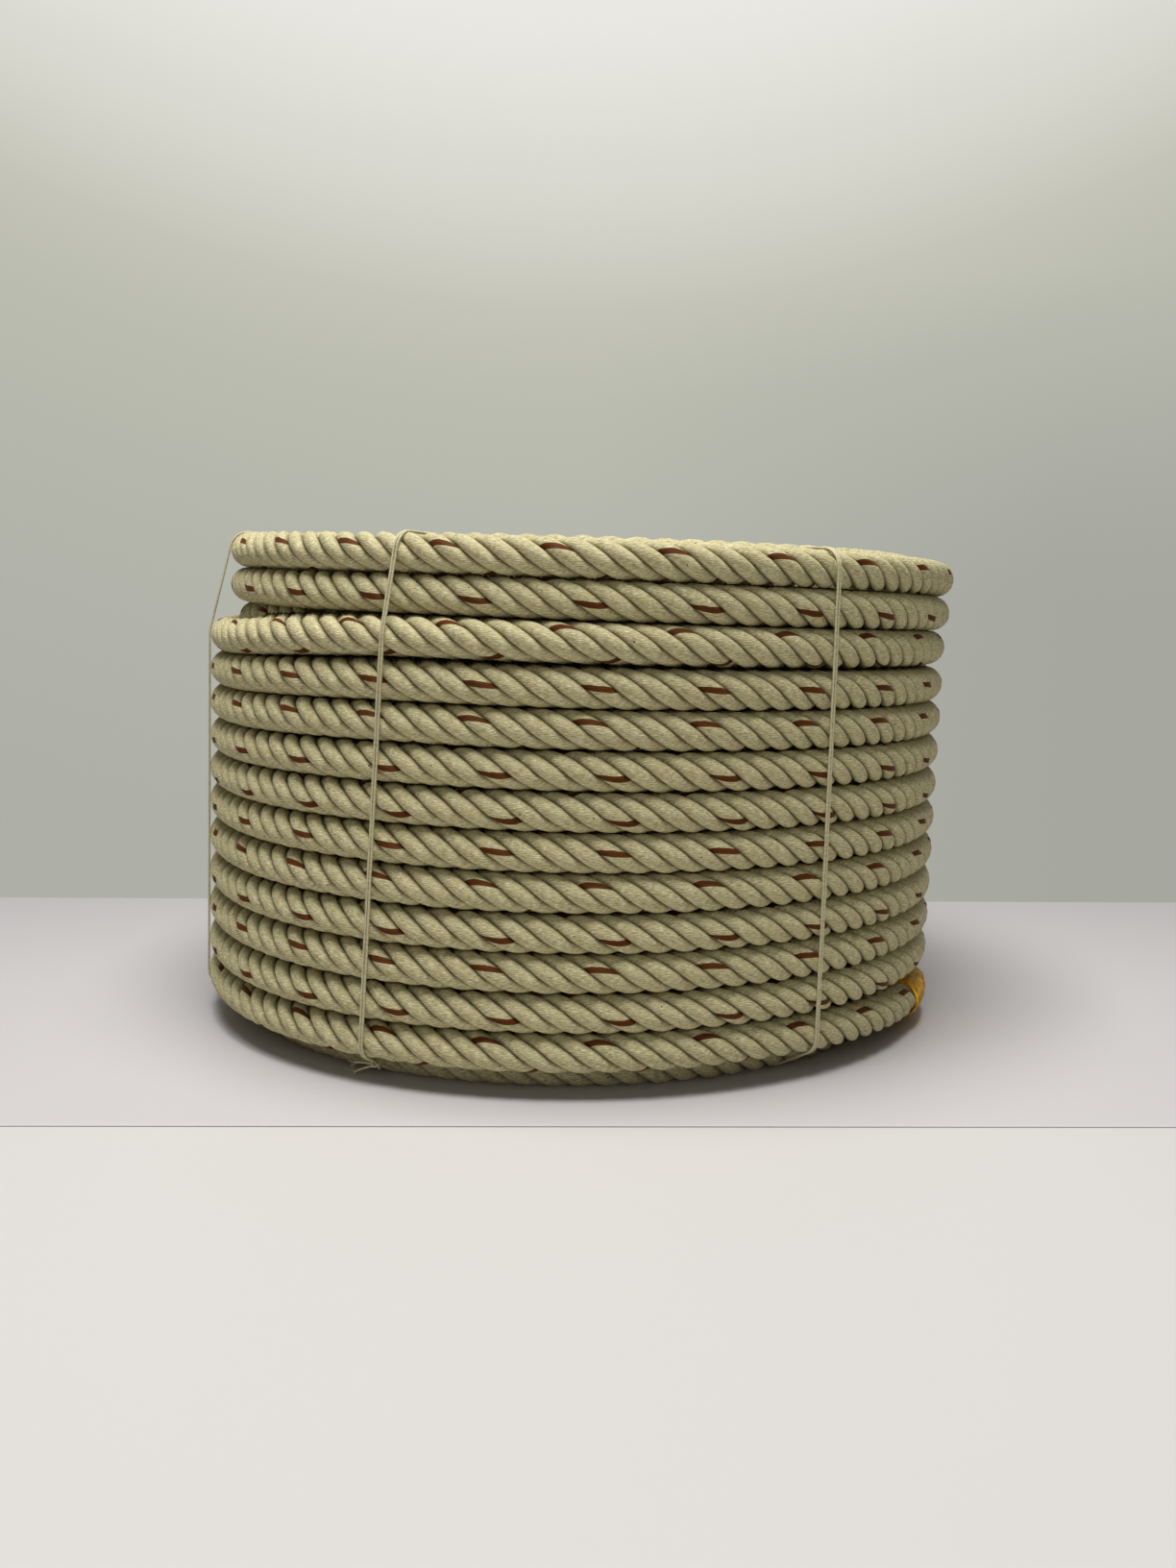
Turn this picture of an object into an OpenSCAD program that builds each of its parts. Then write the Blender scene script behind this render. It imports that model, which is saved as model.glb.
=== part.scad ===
// Coil of four-strand laid rope with a coloured marker yarn, wound in two layers and held by six
// doubled twine ties. Both rope ends are bound with tape. Millimetres, +Z up, origin under the
// middle of the coil on the surface that it stands on. Azimuths run from the front (-Y), positive
// towards +X. Along the rope, t counts turns from the plain rope's outer end: it leaves that end
// clockwise seen from above, climbs the outer layer, steps inward at the back of the top, and goes
// down the inner layer to its inner end at the foot of the bore.

/* [Rope] */
// Diameter of the rope
rope_d = 16; // [12:0.5:18]
// Length along the rope of one full twist of its strands
lay_len = 45; // [38:1:60]

/* [Coil] */
// Radius from the coil's axis to the middle of the outer layer
coil_r = 172.6; // [140:1:220]
// Rows of rope in the outer layer, counted at the front
rows = 13; // [9:1:13]
// Free height between two rows of the outer layer
row_gap = 0.45; // [0.4:0.05:2]
// Free width between the outer and the inner layer
layer_gap = 1.2; // [1.2:0.1:3]
// Height of the lowest outer row's middle at the front
first_row_z = 18.6; // [18:0.2:26]
// Extra height between the third and the fourth row from the top
loose_gap = 1.4; // [0:0.05:3]
// How far the top two rows have slid towards +X
top_slide = 6; // [0:0.5:7]
// How much tighter the top two rows are wound
top_tighten = 3.5; // [0:0.5:4]
// How far the top of the coil leans towards +X over its height
lean = 5.5; // [0:0.5:8]

/* [Rope ends] */
// Length of bare laid rope between the coil and the tape
laid_len = 45; // [30:1:60]
// Length of the tape on each rope end
tape_len = 42; // [25:1:50]
// Thickness of the wound tape
tape_t = 0.6; // [0.4:0.1:1.2]
// Height of the lobes that the strands press into the tape
lobe_h = 0.3; // [0:0.05:0.4]
// How far the taped outer end hangs below its row
end_sag = 5; // [0:0.5:5.5]

/* [Ties] */
// Diameter of the tie twine
twine_d = 1; // [0.8:0.1:2]
// Free width between the two strings of a tie
twine_gap = 0.4; // [0.4:0.05:1]
// Length of a tie's knot along its strings
knot_len = 5.2; // [4:0.2:8]
// Length of the two loose twine ends at a knot
tag_len = 11; // [6:1:16]
// How far below the inner layer's top a hidden knot sits
knot_drop = 42; // [30:1:60]

/* [Fit] */
// Running clearance between pieces that lie against each other
clear = 0.3; // [0.25:0.05:0.4]

/* [Hidden] */

// Colours
ROPE_COLOR = "#b8b08a";
HEART_COLOR = "#a89f78";
TAPE_COLOR = "#c98f1e";
TWINE_COLOR = "#cfc8a4";

// Azimuths of the six ties, and the rings of the rope between two ties
TIE_AZ = [35, -27.5, -78, -141, -203, -264];
RINGS_PER_SECTOR = 4;
RINGS_PER_LOOP = len(TIE_AZ) * RINGS_PER_SECTOR;
SIDES = 6;
ROPE_R = rope_d / 2;
// Half the height of the rope's six-sided section, which lies on a flat
ROPE_HALF_H = ROPE_R * cos(180 / SIDES);

// Outer layer: azimuth where the plain rope starts, and how the rows fan out from level at the
// bottom to their steepest climb across the front at the top
OUTER_END_AZ = 50;
FAN_LOW = -1.22;
FAN_HIGH = 0.83;
row_pitch = rope_d + row_gap;
outer_turns = rows - 1;
// Stretch, in turns down from the top row, over which the rope climbs by the extra gap
LOOSE_TURNS = [2.8, 2.2];
// How far the rows lie below that climb on the left (-X), at turns past the front of the top row,
// and the turns past the front between which they sink there and rise again
LEFT_DROPS = [[-6.75, 0], [-2.75, 3.8], [-1.75, 6.1], [-0.75, -1], [0.25, 0]];
LEFT_SINK = [0.06, 0.21];
LEFT_RISE = [0.29, 0.44];
// Azimuths between which the outer end sinks below its row
SAG_AZ = [20, 80];
top_z = first_row_z + outer_turns * row_pitch + loose_gap;

// Crossing from the outer to the inner layer, and the whole coil, in turns from the outer end.
// The inner layer has two turns fewer than the outer, and INNER_END_AZ is where its plain rope ends.
INNER_END_AZ = -130;
CROSSING = [outer_turns + 0.42, outer_turns + 0.82];
total_turns = 2 * rows - 3 + (OUTER_END_AZ - INNER_END_AZ) / 360;

// Strands: the ellipse of a strand in the rope's cross-section, and the circle of their middles.
// ORBIT_SHARE is that circle's diameter as a share of the rope's, as the lay's angle needs it.
STRANDS = 4;
STRAND_SIDES = 8;
RINGS_PER_LAY = 12;
ORBIT_SHARE = 0.625;
lay_cos = cos(atan(PI * ORBIT_SHARE * rope_d / lay_len));
strand_fit = sin(180 / STRANDS) * lay_cos;
strand_r = (strand_fit * ROPE_R - clear / 2) / (1 + strand_fit);
strand_orbit = ROPE_R - strand_r;
heart_r = strand_orbit - strand_r - clear;

// Tape: inner radius and thickest radius
tape_bore_r = ROPE_R + clear;
tape_r = tape_bore_r + tape_t + lobe_h;
TAPE_SIDES = 24;
TAPE_RING_STEP = 6;

// A tie's string lies with a flat of its six-sided section on the rope, and on the floor
STRING_SIDES = 6;
STRING_HALF_H = twine_d / 2 * cos(180 / STRING_SIDES);

// Inner layer, in turns up from its plain end: FOOT_TURN, in which it comes down from the height of
// its taped end to the level bottom turn, the climb to the helix, and the climb to the level top
// turn. TOP_TILT leans the top turn towards +X.
FOOT_TURN = 0.12;
LOW_CLIMB = [0.68, 0.9];
inner_turns = total_turns - (CROSSING[0] + CROSSING[1]) / 2;
HIGH_CLIMB = [inner_turns - 1, inner_turns - 0.72];
TOP_TILT = 1.3;
inner_r = coil_r - rope_d - layer_gap;
floor_z = 2 * STRING_HALF_H + 2 * clear + ROPE_HALF_H;
taped_z = tape_r + clear;
climb_h = taped_z + tape_r + 2 * clear + ROPE_R - floor_z;
inner_pitch = (top_z - floor_z - 2 * climb_h) / (HIGH_CLIMB[0] - LOW_CLIMB[1]);

// Heights between which the top two rows have slid and tightened
slide_high_z = top_z - row_pitch;
slide_low_z = slide_high_z - 0.7 * row_pitch;

// Ties: directions at which the taut string leaves the rope's rows, from the bore over the top and
// back under the foot. On the upright sides they lie TIE_LEAN apart, because the rows lean.
TIE_STEP = 15;
TIE_LEAN = 3;
OVER_TOP = [for (b = [180 - TIE_STEP / 2:-TIE_STEP:TIE_STEP / 2]) b];
TIE_DIRECTIONS = concat([180, 180 - TIE_LEAN], OVER_TOP, [TIE_LEAN, 0, -TIE_LEAN],
                        [for (b = OVER_TOP) b - 180], [TIE_LEAN - 180]);
string_reach = (ROPE_R + clear + STRING_HALF_H) / cos(TIE_STEP / 2);
string_offset = (twine_d + twine_gap) / 2;
// The tie whose knot sits under the lowest outer row, and the string edges that could carry each
// knot, of which the longest does: those under that row, or those on the bore side
LOW_KNOT_TIE = 1;
LOW_KNOT_EDGES = [19:21];
HIDDEN_KNOT_EDGES = [0, 1, len(TIE_DIRECTIONS) - 2, len(TIE_DIRECTIONS) - 1];
// How far the top of each of the two front ties lies towards +X of its foot, on the outside of the
// coil, where they run straight. The other strings follow the rows.
FRONT_LEANS = [3, 14];
KNOT_SIDES = 12;
knot_r = 2 * twine_d;
KNOT_TAPER = 0.9;
LOW_TAGS = [[-0.2, -1, -0.3], [-0.3, -0.8, -0.7]];
HIDDEN_TAGS = [[-0.4, 0.5, -1], [-0.4, -0.35, -1]];

// Smooth step from 0 at a to 1 at b
function clamp01(x) = max(0, min(1, x));
function ease(x, a, b) = let (k = clamp01((x - a) / (b - a))) k * k * (3 - 2 * k);
function mix(a, b, k) = a + (b - a) * k;

// Height of the outer layer's middle after w turns past the front of the lowest row
function fan(w) = mix(FAN_LOW, FAN_HIGH, clamp01(w / outer_turns));
function sag(w) = end_sag * ease(-w * 360, SAG_AZ[0], SAG_AZ[1]);
function left_side(part) = ease(part, LEFT_SINK[0], LEFT_SINK[1])
    * (1 - ease(part, LEFT_RISE[0], LEFT_RISE[1]));
function left_drop(w) = lookup(w - outer_turns, LEFT_DROPS) * left_side(w - floor(w));
function outer_z(w) = first_row_z + row_pitch * (w + fan(w) * sin(360 * w) / (2 * PI))
    + loose_gap * ease(w, outer_turns - LOOSE_TURNS[0], outer_turns - LOOSE_TURNS[1])
    - left_drop(w) - sag(w);

// Height of the inner layer's middle v turns up from its plain end
function inner_level(v) = floor_z + climb_h * ease(v, LOW_CLIMB[0], LOW_CLIMB[1])
    + inner_pitch * max(0, min(v, HIGH_CLIMB[0]) - LOW_CLIMB[1])
    + climb_h * ease(v, HIGH_CLIMB[0], HIGH_CLIMB[1])
    + (taped_z - floor_z) * (1 - ease(v, 0, FOOT_TURN));
function inner_z(v, az) = let (z = inner_level(v))
    z - inner_r * sin(az) * tan(TOP_TILT) * clamp01((z - floor_z) / (top_z - floor_z));

// The rope's middle at t turns, as [azimuth, radius, height]
function rope_az(t) = OUTER_END_AZ - 360 * t;
function slid(z) = ease(z, slide_low_z, slide_high_z);
function rope_polar(t) = let (
    across = ease(t, CROSSING[0], CROSSING[1]),
    az = rope_az(t),
    z = mix(outer_z(t - OUTER_END_AZ / 360), inner_z(total_turns - t, az), across))
    [az, mix(coil_r, inner_r, across) - top_tighten * slid(z), z];

// Directions at an azimuth: outward, and along the rope towards its inner end
function outward(az) = [sin(az), -cos(az), 0];
function onward(az) = [-cos(az), -sin(az), 0];
UP = [0, 0, 1];
function shift_x(z) = top_slide * slid(z) + lean * (z / top_z - 0.5);
function rope_point(t) = let (p = rope_polar(t))
    p[1] * outward(p[0]) + [shift_x(p[2]), 0, p[2]];

// One ring of points in the upright plane across the rope at an azimuth
function ring_at(middle, az, section) =
    [for (s = section) middle + s[0] * outward(az) + s[1] * UP];
function circle_section(r, sides) =
    [for (k = [0:sides - 1]) r * [cos(k * 360 / sides), sin(k * 360 / sides)]];

// Triangles of a closed tube from rings that each hold n points
function tube_sides(rings, n) = [for (i = [0:rings - 2], k = [0:n - 1]) let (
    a = i * n + k, b = i * n + (k + 1) % n) each [[a, a + n, b], [b, a + n, b + n]]];
function tube_caps(rings, n) = let (last = (rings - 1) * n) [for (k = [1:n - 2])
    each [[0, k, k + 1], [last, last + k + 1, last + k]]];
module tube(rings, n) {
    polyhedron(points = [for (r = rings) each r],
               faces = concat(tube_sides(len(rings), n), tube_caps(len(rings), n)));
}

// ---- Rope coil ----

// Ring places: one under each tie and evenly spaced between two ties, from the outer end on. The
// tube's two ends run straight for one diameter, so the first and last of them lie past that.
function sector_az(k) = TIE_AZ[k % len(TIE_AZ)] - 360 * floor(k / len(TIE_AZ));
function place_t(k) = let (
    sector = floor(k / RINGS_PER_SECTOR),
    part = (k % RINGS_PER_SECTOR) / RINGS_PER_SECTOR)
    (OUTER_END_AZ - mix(sector_az(sector), sector_az(sector + 1), part)) / 360;
end_clear_t = 1.6 * rope_d / (2 * PI * inner_r);
COIL_PLACES = [for (k = [0:RINGS_PER_LOOP * ceil(total_turns)]) let (t = place_t(k))
    if (t > end_clear_t && t < total_turns - end_clear_t) t];
ROPE_SECTION = circle_section(ROPE_R, SIDES);
function coil_ring(t) = ring_at(rope_point(t), rope_az(t), ROPE_SECTION);
function end_ring(t, back) =
    ring_at(rope_point(t) + back * onward(rope_az(t)), rope_az(t), ROPE_SECTION);
COIL_RINGS = concat(
    [end_ring(0, 0), end_ring(0, rope_d)],
    [for (t = COIL_PLACES) coil_ring(t)],
    [end_ring(total_turns, -rope_d), end_ring(total_turns, 0)]);

// Least free distance between the tube's points and those of its other turns, among the rings
// whose middles lie within NEAR_TURNS diameters
NEAR_TURNS = 1.4;
function ring_gap(a, b) = min([for (p = a, q = b) norm(p - q)]);
function rings_apart(i, j) = norm(rope_point(COIL_PLACES[i]) - rope_point(COIL_PLACES[j]));
function turn_gap(i) = let (last = len(COIL_PLACES) - 1) [for (
    n = [1:ceil(total_turns)], m = [-1:1])
    let (j = i + n * RINGS_PER_LOOP + m)
    if (j <= last && rings_apart(i, j) < NEAR_TURNS * rope_d)
        ring_gap(coil_ring(COIL_PLACES[i]), coil_ring(COIL_PLACES[j]))];
function least_gap() = min([for (i = [0:len(COIL_PLACES) - 1]) each turn_gap(i)]);
function add(list, i = 0, sum = 0) = i == len(list) ? sum : add(list, i + 1, sum + list[i]);
function coil_length() = 2 * rope_d
    + add([for (i = [0:len(COIL_PLACES) - 2]) rings_apart(i, i + 1)]);

module rope_coil() {
    echo("loops of rope", total_turns, "length in mm", round(coil_length()));
    echo("least gap of the rope to itself in mm", least_gap());
    color(ROPE_COLOR) tube(COIL_RINGS, SIDES);
}

// ---- Laid rope ends ----

// Each end runs on past the plain rope: t0 is where it starts, way is +1 or -1 along the rope
function end_t(t0, way, s) =
    t0 + way * s / (2 * PI * (way > 0 ? inner_r : coil_r));
function end_steps(from, to, step) = let (n = ceil((to - from) / step))
    [for (i = [0:n]) mix(from, to, i / n)];
function strand_section(turn) = [for (k = [0:STRAND_SIDES - 1]) let (
    a = k * 360 / STRAND_SIDES,
    radial = strand_orbit + strand_r * cos(a),
    tangential = strand_r / lay_cos * sin(a))
    [radial * cos(turn) - tangential * sin(turn), radial * sin(turn) + tangential * cos(turn)]];

// Puts the rings in the order that turns the tube's faces outward
function facing(rings, way) = way > 0 ? rings : [for (i = [len(rings) - 1:-1:0]) rings[i]];

module end_sweep(t0, way, from, to, step, sections, n) {
    rings = [for (s = end_steps(from, to, step)) let (t = end_t(t0, way, s))
        ring_at(rope_point(t), rope_az(t), sections(s))];
    tube(facing(rings, way), n);
}

// A right-handed strand: seen along the rope it turns clockwise as it runs away
module end_strand(t0, way, index) {
    color(ROPE_COLOR)
        end_sweep(t0, way, 0, laid_len + tape_len, lay_len / RINGS_PER_LAY,
            function(s) strand_section(index * 360 / STRANDS + way * 360 * s / lay_len),
            STRAND_SIDES);
}

module end_heart(t0, way) {
    color(HEART_COLOR)
        end_sweep(t0, way, 0, laid_len + tape_len, 3 * TAPE_RING_STEP,
            function(s) circle_section(heart_r, SIDES), SIDES);
}

// Tape wound tight round the strands, so their lobes show through it, open at the rope's cut end
function tape_section(s, way) = [for (k = [0:TAPE_SIDES - 1]) let (
    a = k * 360 / TAPE_SIDES,
    r = tape_bore_r + tape_t
        + lobe_h * (1 + cos(STRANDS * (a - way * 360 * s / lay_len))) / 2)
    r * [cos(a), sin(a)]];

// A sleeve: outer rings out and inner rings back, closed into one skin
module sleeve(outer, inner, n) {
    m = len(outer);
    rings = concat(outer, [for (i = [m - 1:-1:0]) inner[i]]);
    loop = len(rings);
    faces = [for (i = [0:loop - 1], k = [0:n - 1]) let (
        a = i * n + k, b = i * n + (k + 1) % n,
        c = ((i + 1) % loop) * n + k, d = ((i + 1) % loop) * n + (k + 1) % n)
        each [[a, c, b], [b, c, d]]];
    polyhedron(points = [for (r = rings) each r], faces = faces);
}

module end_tape(t0, way) {
    steps = end_steps(laid_len, laid_len + tape_len, TAPE_RING_STEP);
    outer = [for (s = steps) let (t = end_t(t0, way, s))
        ring_at(rope_point(t), rope_az(t), tape_section(s, way))];
    inner = [for (s = steps) let (t = end_t(t0, way, s))
        ring_at(rope_point(t), rope_az(t), circle_section(tape_bore_r, TAPE_SIDES))];
    color(TAPE_COLOR) sleeve(facing(outer, way), facing(inner, way), TAPE_SIDES);
}

module outer_end_strand_1() { end_strand(0, -1, 0); }
module outer_end_strand_2() { end_strand(0, -1, 1); }
module outer_end_strand_3() { end_strand(0, -1, 2); }
module outer_end_strand_4() { end_strand(0, -1, 3); }
module outer_end_heart() { end_heart(0, -1); }
module outer_end_tape() { end_tape(0, -1); }
module inner_end_strand_1() { end_strand(total_turns, 1, 0); }
module inner_end_strand_2() { end_strand(total_turns, 1, 1); }
module inner_end_strand_3() { end_strand(total_turns, 1, 2); }
module inner_end_strand_4() { end_strand(total_turns, 1, 3); }
module inner_end_heart() { end_heart(total_turns, 1); }
module inner_end_tape() { end_tape(total_turns, 1); }

// ---- Ties ----

// How far to the side of its azimuth a tie lies, at a distance from the axis and a height, and the
// turns of rope between there and where the rows' own shift carries that azimuth
function along_rows(z, k) = shift_x(z) * cos(TIE_AZ[k]);
function sideways(r, z, k) = k < len(FRONT_LEANS)
    ? mix(along_rows(z, k), FRONT_LEANS[k] * (z / top_z - 0.5),
          clamp01((r - inner_r) / (coil_r - inner_r)))
    : along_rows(z, k);
function aside_t(t, k) = let (p = rope_polar(t))
    (sideways(p[1], p[2], k) - along_rows(p[2], k)) / (2 * PI * p[1]);

// Where the rope crosses a tie, as [distance from the axis, height]
function tie_rows(k) = let (az = TIE_AZ[k]) [
    for (n = [0:ceil(total_turns)]) let (t = (OUTER_END_AZ - az) / 360 + n)
        if (t >= 0 && t <= total_turns) let (p = rope_point(t - aside_t(t, k)))
            [p * outward(az), p[2]]];

// The row that reaches furthest in a direction
function furthest(points, dir) = let (reach = [for (p = points) p * dir])
    points[search(max(reach), reach)[0]];

// Corners of the taut string round all the rows, from the inner top over the outside and back
function string_corners(k) = let (crossed = tie_rows(k))
    [for (b = TIE_DIRECTIONS) let (
        dir = [cos(b), sin(b)],
        p = furthest(crossed, dir) + string_reach * dir)
        [p[0], max(p[1], STRING_HALF_H)]];

// The knot's middle lies on one string edge, from which the open string starts and ends
function edge_end(corners, e) = corners[(e + 1) % len(corners)];
function knot_edge(k, corners) = let (
    edges = [for (e = k == LOW_KNOT_TIE ? LOW_KNOT_EDGES : HIDDEN_KNOT_EDGES) e],
    lengths = [for (e = edges) norm(edge_end(corners, e) - corners[e])])
    edges[search(max(lengths), lengths)[0]];
function knot_place(k, corners) = let (
    e = knot_edge(k, corners),
    a = corners[e],
    b = edge_end(corners, e),
    dir = (b - a) / norm(b - a),
    along = k == LOW_KNOT_TIE ? norm(b - a) / 2 : norm(b - a) - knot_drop)
    [a + along * dir, dir];
function open_string(k, corners) = let (
    place = knot_place(k, corners),
    e = knot_edge(k, corners),
    n = len(corners))
    concat([place[0] + place[1] * knot_len / 2],
           [for (i = [1:n]) corners[(e + i) % n]],
           [place[0] - place[1] * knot_len / 2]);

// A string that follows the rows sideways has a point on its long runs where the slide starts and
// one where it ends
function slide_points(a, b) = [
    for (h = b[1] > a[1] ? [slide_low_z, slide_high_z] : [slide_high_z, slide_low_z])
        if ((h - a[1]) * (h - b[1]) < 0) mix(a, b, (h - a[1]) / (b[1] - a[1]))];
function with_slide(path) = [for (i = [0:len(path) - 1])
    each i == 0 ? [path[0]] : concat(slide_points(path[i - 1], path[i]), [path[i]])];

// Rings across a string in its upright plane, mitred at each corner
function string_normal(path, i) = let (
    d = path[min(i + 1, len(path) - 1)] - path[max(i - 1, 0)],
    u = d / norm(d)) [-u[1], u[0]];
function string_ring(path, i, k, side) = let (
    az = TIE_AZ[k],
    n = string_normal(path, i),
    across = -onward(az))
    [for (corner = [0:STRING_SIDES - 1]) let (
        a = (corner + 0.5) * 360 / STRING_SIDES,
        r = twine_d / 2 * cos(a),
        p = path[i] + r * n)
        p[0] * outward(az) + p[1] * UP
            + (sideways(path[i][0], path[i][1], k) + side * string_offset - twine_d / 2 * sin(a)) * across];

module tie(k) {
    path = with_slide(open_string(k, string_corners(k)));
    color(TWINE_COLOR)
        for (side = [-1, 1])
            tube([for (i = [0:len(path) - 1]) string_ring(path, i, k, side)], STRING_SIDES);
}

// A knot of the doubled twine, flat where the strings enter it, with its two loose ends. It is
// built with the strings along Z and the rope on the +X side, then laid on its string edge.
function knot_tags(k) = k == LOW_KNOT_TIE ? LOW_TAGS : HIDDEN_TAGS;
module knot(k) {
    place = knot_place(k, string_corners(k));
    along = place[1];
    color(TWINE_COLOR)
        rotate([0, 0, TIE_AZ[k] - 90])
            translate([place[0][0], sideways(place[0][0], place[0][1], k), place[0][1]])
                rotate([0, atan2(along[0], along[1]), 0])
                    translate([STRING_HALF_H - knot_r, 0, 0]) {
                        knot_lump();
                        for (dir = knot_tags(k)) loose_end(dir);
                    }
}

module knot_lump() {
    hull() {
        cylinder(r = KNOT_TAPER * knot_r, h = knot_len, center = true, $fn = KNOT_SIDES);
        cylinder(r = knot_r, h = knot_len / 2, center = true, $fn = KNOT_SIDES);
    }
}

// A twine end that leaves the knot's middle in a direction
module loose_end(dir) {
    rotate([0, acos(dir[2] / norm(dir)), atan2(dir[1], dir[0])])
        cylinder(d = twine_d, h = knot_r + tag_len, $fn = KNOT_SIDES);
}

module tie_1() { tie(0); }
module tie_2() { tie(1); }
module tie_3() { tie(2); }
module tie_4() { tie(3); }
module tie_5() { tie(4); }
module tie_6() { tie(5); }
module knot_1() { knot(0); }
module knot_2() { knot(1); }
module knot_3() { knot(2); }
module knot_4() { knot(3); }
module knot_5() { knot(4); }
module knot_6() { knot(5); }

rope_coil();
outer_end_strand_1();
outer_end_strand_2();
outer_end_strand_3();
outer_end_strand_4();
outer_end_heart();
outer_end_tape();
inner_end_strand_1();
inner_end_strand_2();
inner_end_strand_3();
inner_end_strand_4();
inner_end_heart();
inner_end_tape();
tie_1();
tie_2();
tie_3();
tie_4();
tie_5();
tie_6();
knot_1();
knot_2();
knot_3();
knot_4();
knot_5();
knot_6();
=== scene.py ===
"""Coil of four-strand laid rope with a marker yarn, standing upright in its twine ties.

The rope is made as a rope walk makes it: four strands laid right-handed round a heart, wound in
one run up the outer layer, across the top and down the inner layer, with both cut ends bound in
amber film. Lengths are in metres. Azimuths are in degrees from the front (-Y), positive towards
+X. Along the rope, t counts turns from the plain rope's outer end and s counts metres from the
outer cut end.
"""

import logging
import math
from collections.abc import Sequence
from dataclasses import dataclass, field
from enum import Enum

import bpy
import numpy as np
from mathutils import Matrix, Vector, noise


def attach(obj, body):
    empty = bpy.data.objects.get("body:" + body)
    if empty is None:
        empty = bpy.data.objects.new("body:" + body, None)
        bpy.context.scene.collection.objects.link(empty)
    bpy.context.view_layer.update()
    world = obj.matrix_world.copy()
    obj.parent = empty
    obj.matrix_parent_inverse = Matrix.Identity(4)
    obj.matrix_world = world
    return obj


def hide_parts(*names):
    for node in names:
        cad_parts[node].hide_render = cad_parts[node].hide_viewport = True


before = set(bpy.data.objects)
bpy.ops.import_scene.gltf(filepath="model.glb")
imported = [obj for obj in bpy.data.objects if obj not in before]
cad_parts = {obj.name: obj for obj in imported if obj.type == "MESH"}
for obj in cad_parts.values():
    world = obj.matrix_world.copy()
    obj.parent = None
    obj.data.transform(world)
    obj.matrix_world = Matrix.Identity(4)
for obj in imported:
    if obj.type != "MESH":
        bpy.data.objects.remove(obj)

LOG = logging.getLogger("rope_coil")
UP = np.array([0.0, 0.0, 1.0])
TURN = 2 * math.pi
LAY_MAP = "lay"
BAKE_MAP = "OFBake"
# 0 on a strand's crest, 1 in a groove and 2 where a row is pressed against the next, which sets how
# much shade is painted there
SUNK = "sunk"
Colour = tuple[float, float, float, float]
Socket = bpy.types.NodeSocket
Tree = bpy.types.NodeTree
# A UV map's corners, as [row of faces, side + 1, uv], at each row's start and at its end
Rows = tuple[np.ndarray, np.ndarray]


class End(Enum):
    """The rope's two ends."""

    OUTER = "outer"
    INNER = "inner"

    @property
    def label(self) -> str:
        """The end's name as the nodes spell it."""
        return f"{self.value}_end"


def linear(colour: str | float) -> Colour:
    """Turns an sRGB hex colour into linear RGBA.

    Args:
        colour: Six hex digits after a hash, or a grey that is linear already.

    Returns:
        Linear red, green and blue, and an alpha of 1.
    """
    if isinstance(colour, float):
        return colour, colour, colour, 1.0
    parts = [int(colour[i:i + 2], 16) / 255 for i in (1, 3, 5)]
    red, green, blue = (
        c / 12.92 if c <= 0.04045 else ((c + 0.055) / 1.055) ** 2.4 for c in parts)
    return red, green, blue, 1.0


def ease(x: np.ndarray | float, low: float, high: float) -> np.ndarray:
    """Steps smoothly from 0 at low to 1 at high."""
    k = np.clip((x - low) / (high - low), 0.0, 1.0)
    return k * k * (3 - 2 * k)


def mix(a: np.ndarray | float, b: np.ndarray | float, k: np.ndarray) -> np.ndarray:
    """Blends from a at k 0 to b at k 1."""
    return a + (b - a) * k


def outward(az: np.ndarray | float) -> np.ndarray:
    """Unit vectors away from the coil's axis at azimuths in degrees."""
    a = np.radians(az)
    return np.stack([np.sin(a), -np.cos(a), np.zeros_like(a)], axis=-1)


def unit(v: np.ndarray) -> np.ndarray:
    """Vectors scaled to length 1."""
    return v / np.linalg.norm(v, axis=-1, keepdims=True)


def waves(s: np.ndarray, lengths: Sequence[float], seed: int) -> np.ndarray:
    """Sums slow waves into an even wander between about -1 and 1.

    Args:
        s: Places along the rope.
        lengths: Wavelengths in the same unit.
        seed: Picks the waves' phases.

    Returns:
        The wander at each place.
    """
    phases = np.random.default_rng(seed).uniform(0, TURN, len(lengths))
    return sum(np.sin(TURN * s / w + p) for w, p in zip(lengths, phases)) / len(lengths)


def angles(sides: int) -> np.ndarray:
    """Even angles once round a section."""
    return np.arange(sides) * TURN / sides


def run(points: np.ndarray) -> np.ndarray:
    """Length along a line of points, up to each of them."""
    return np.concatenate([[0.0], np.cumsum(np.linalg.norm(np.diff(points, axis=0), axis=1))])


# ---- Meshes -------------------------------------------------------------------------------------


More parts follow.
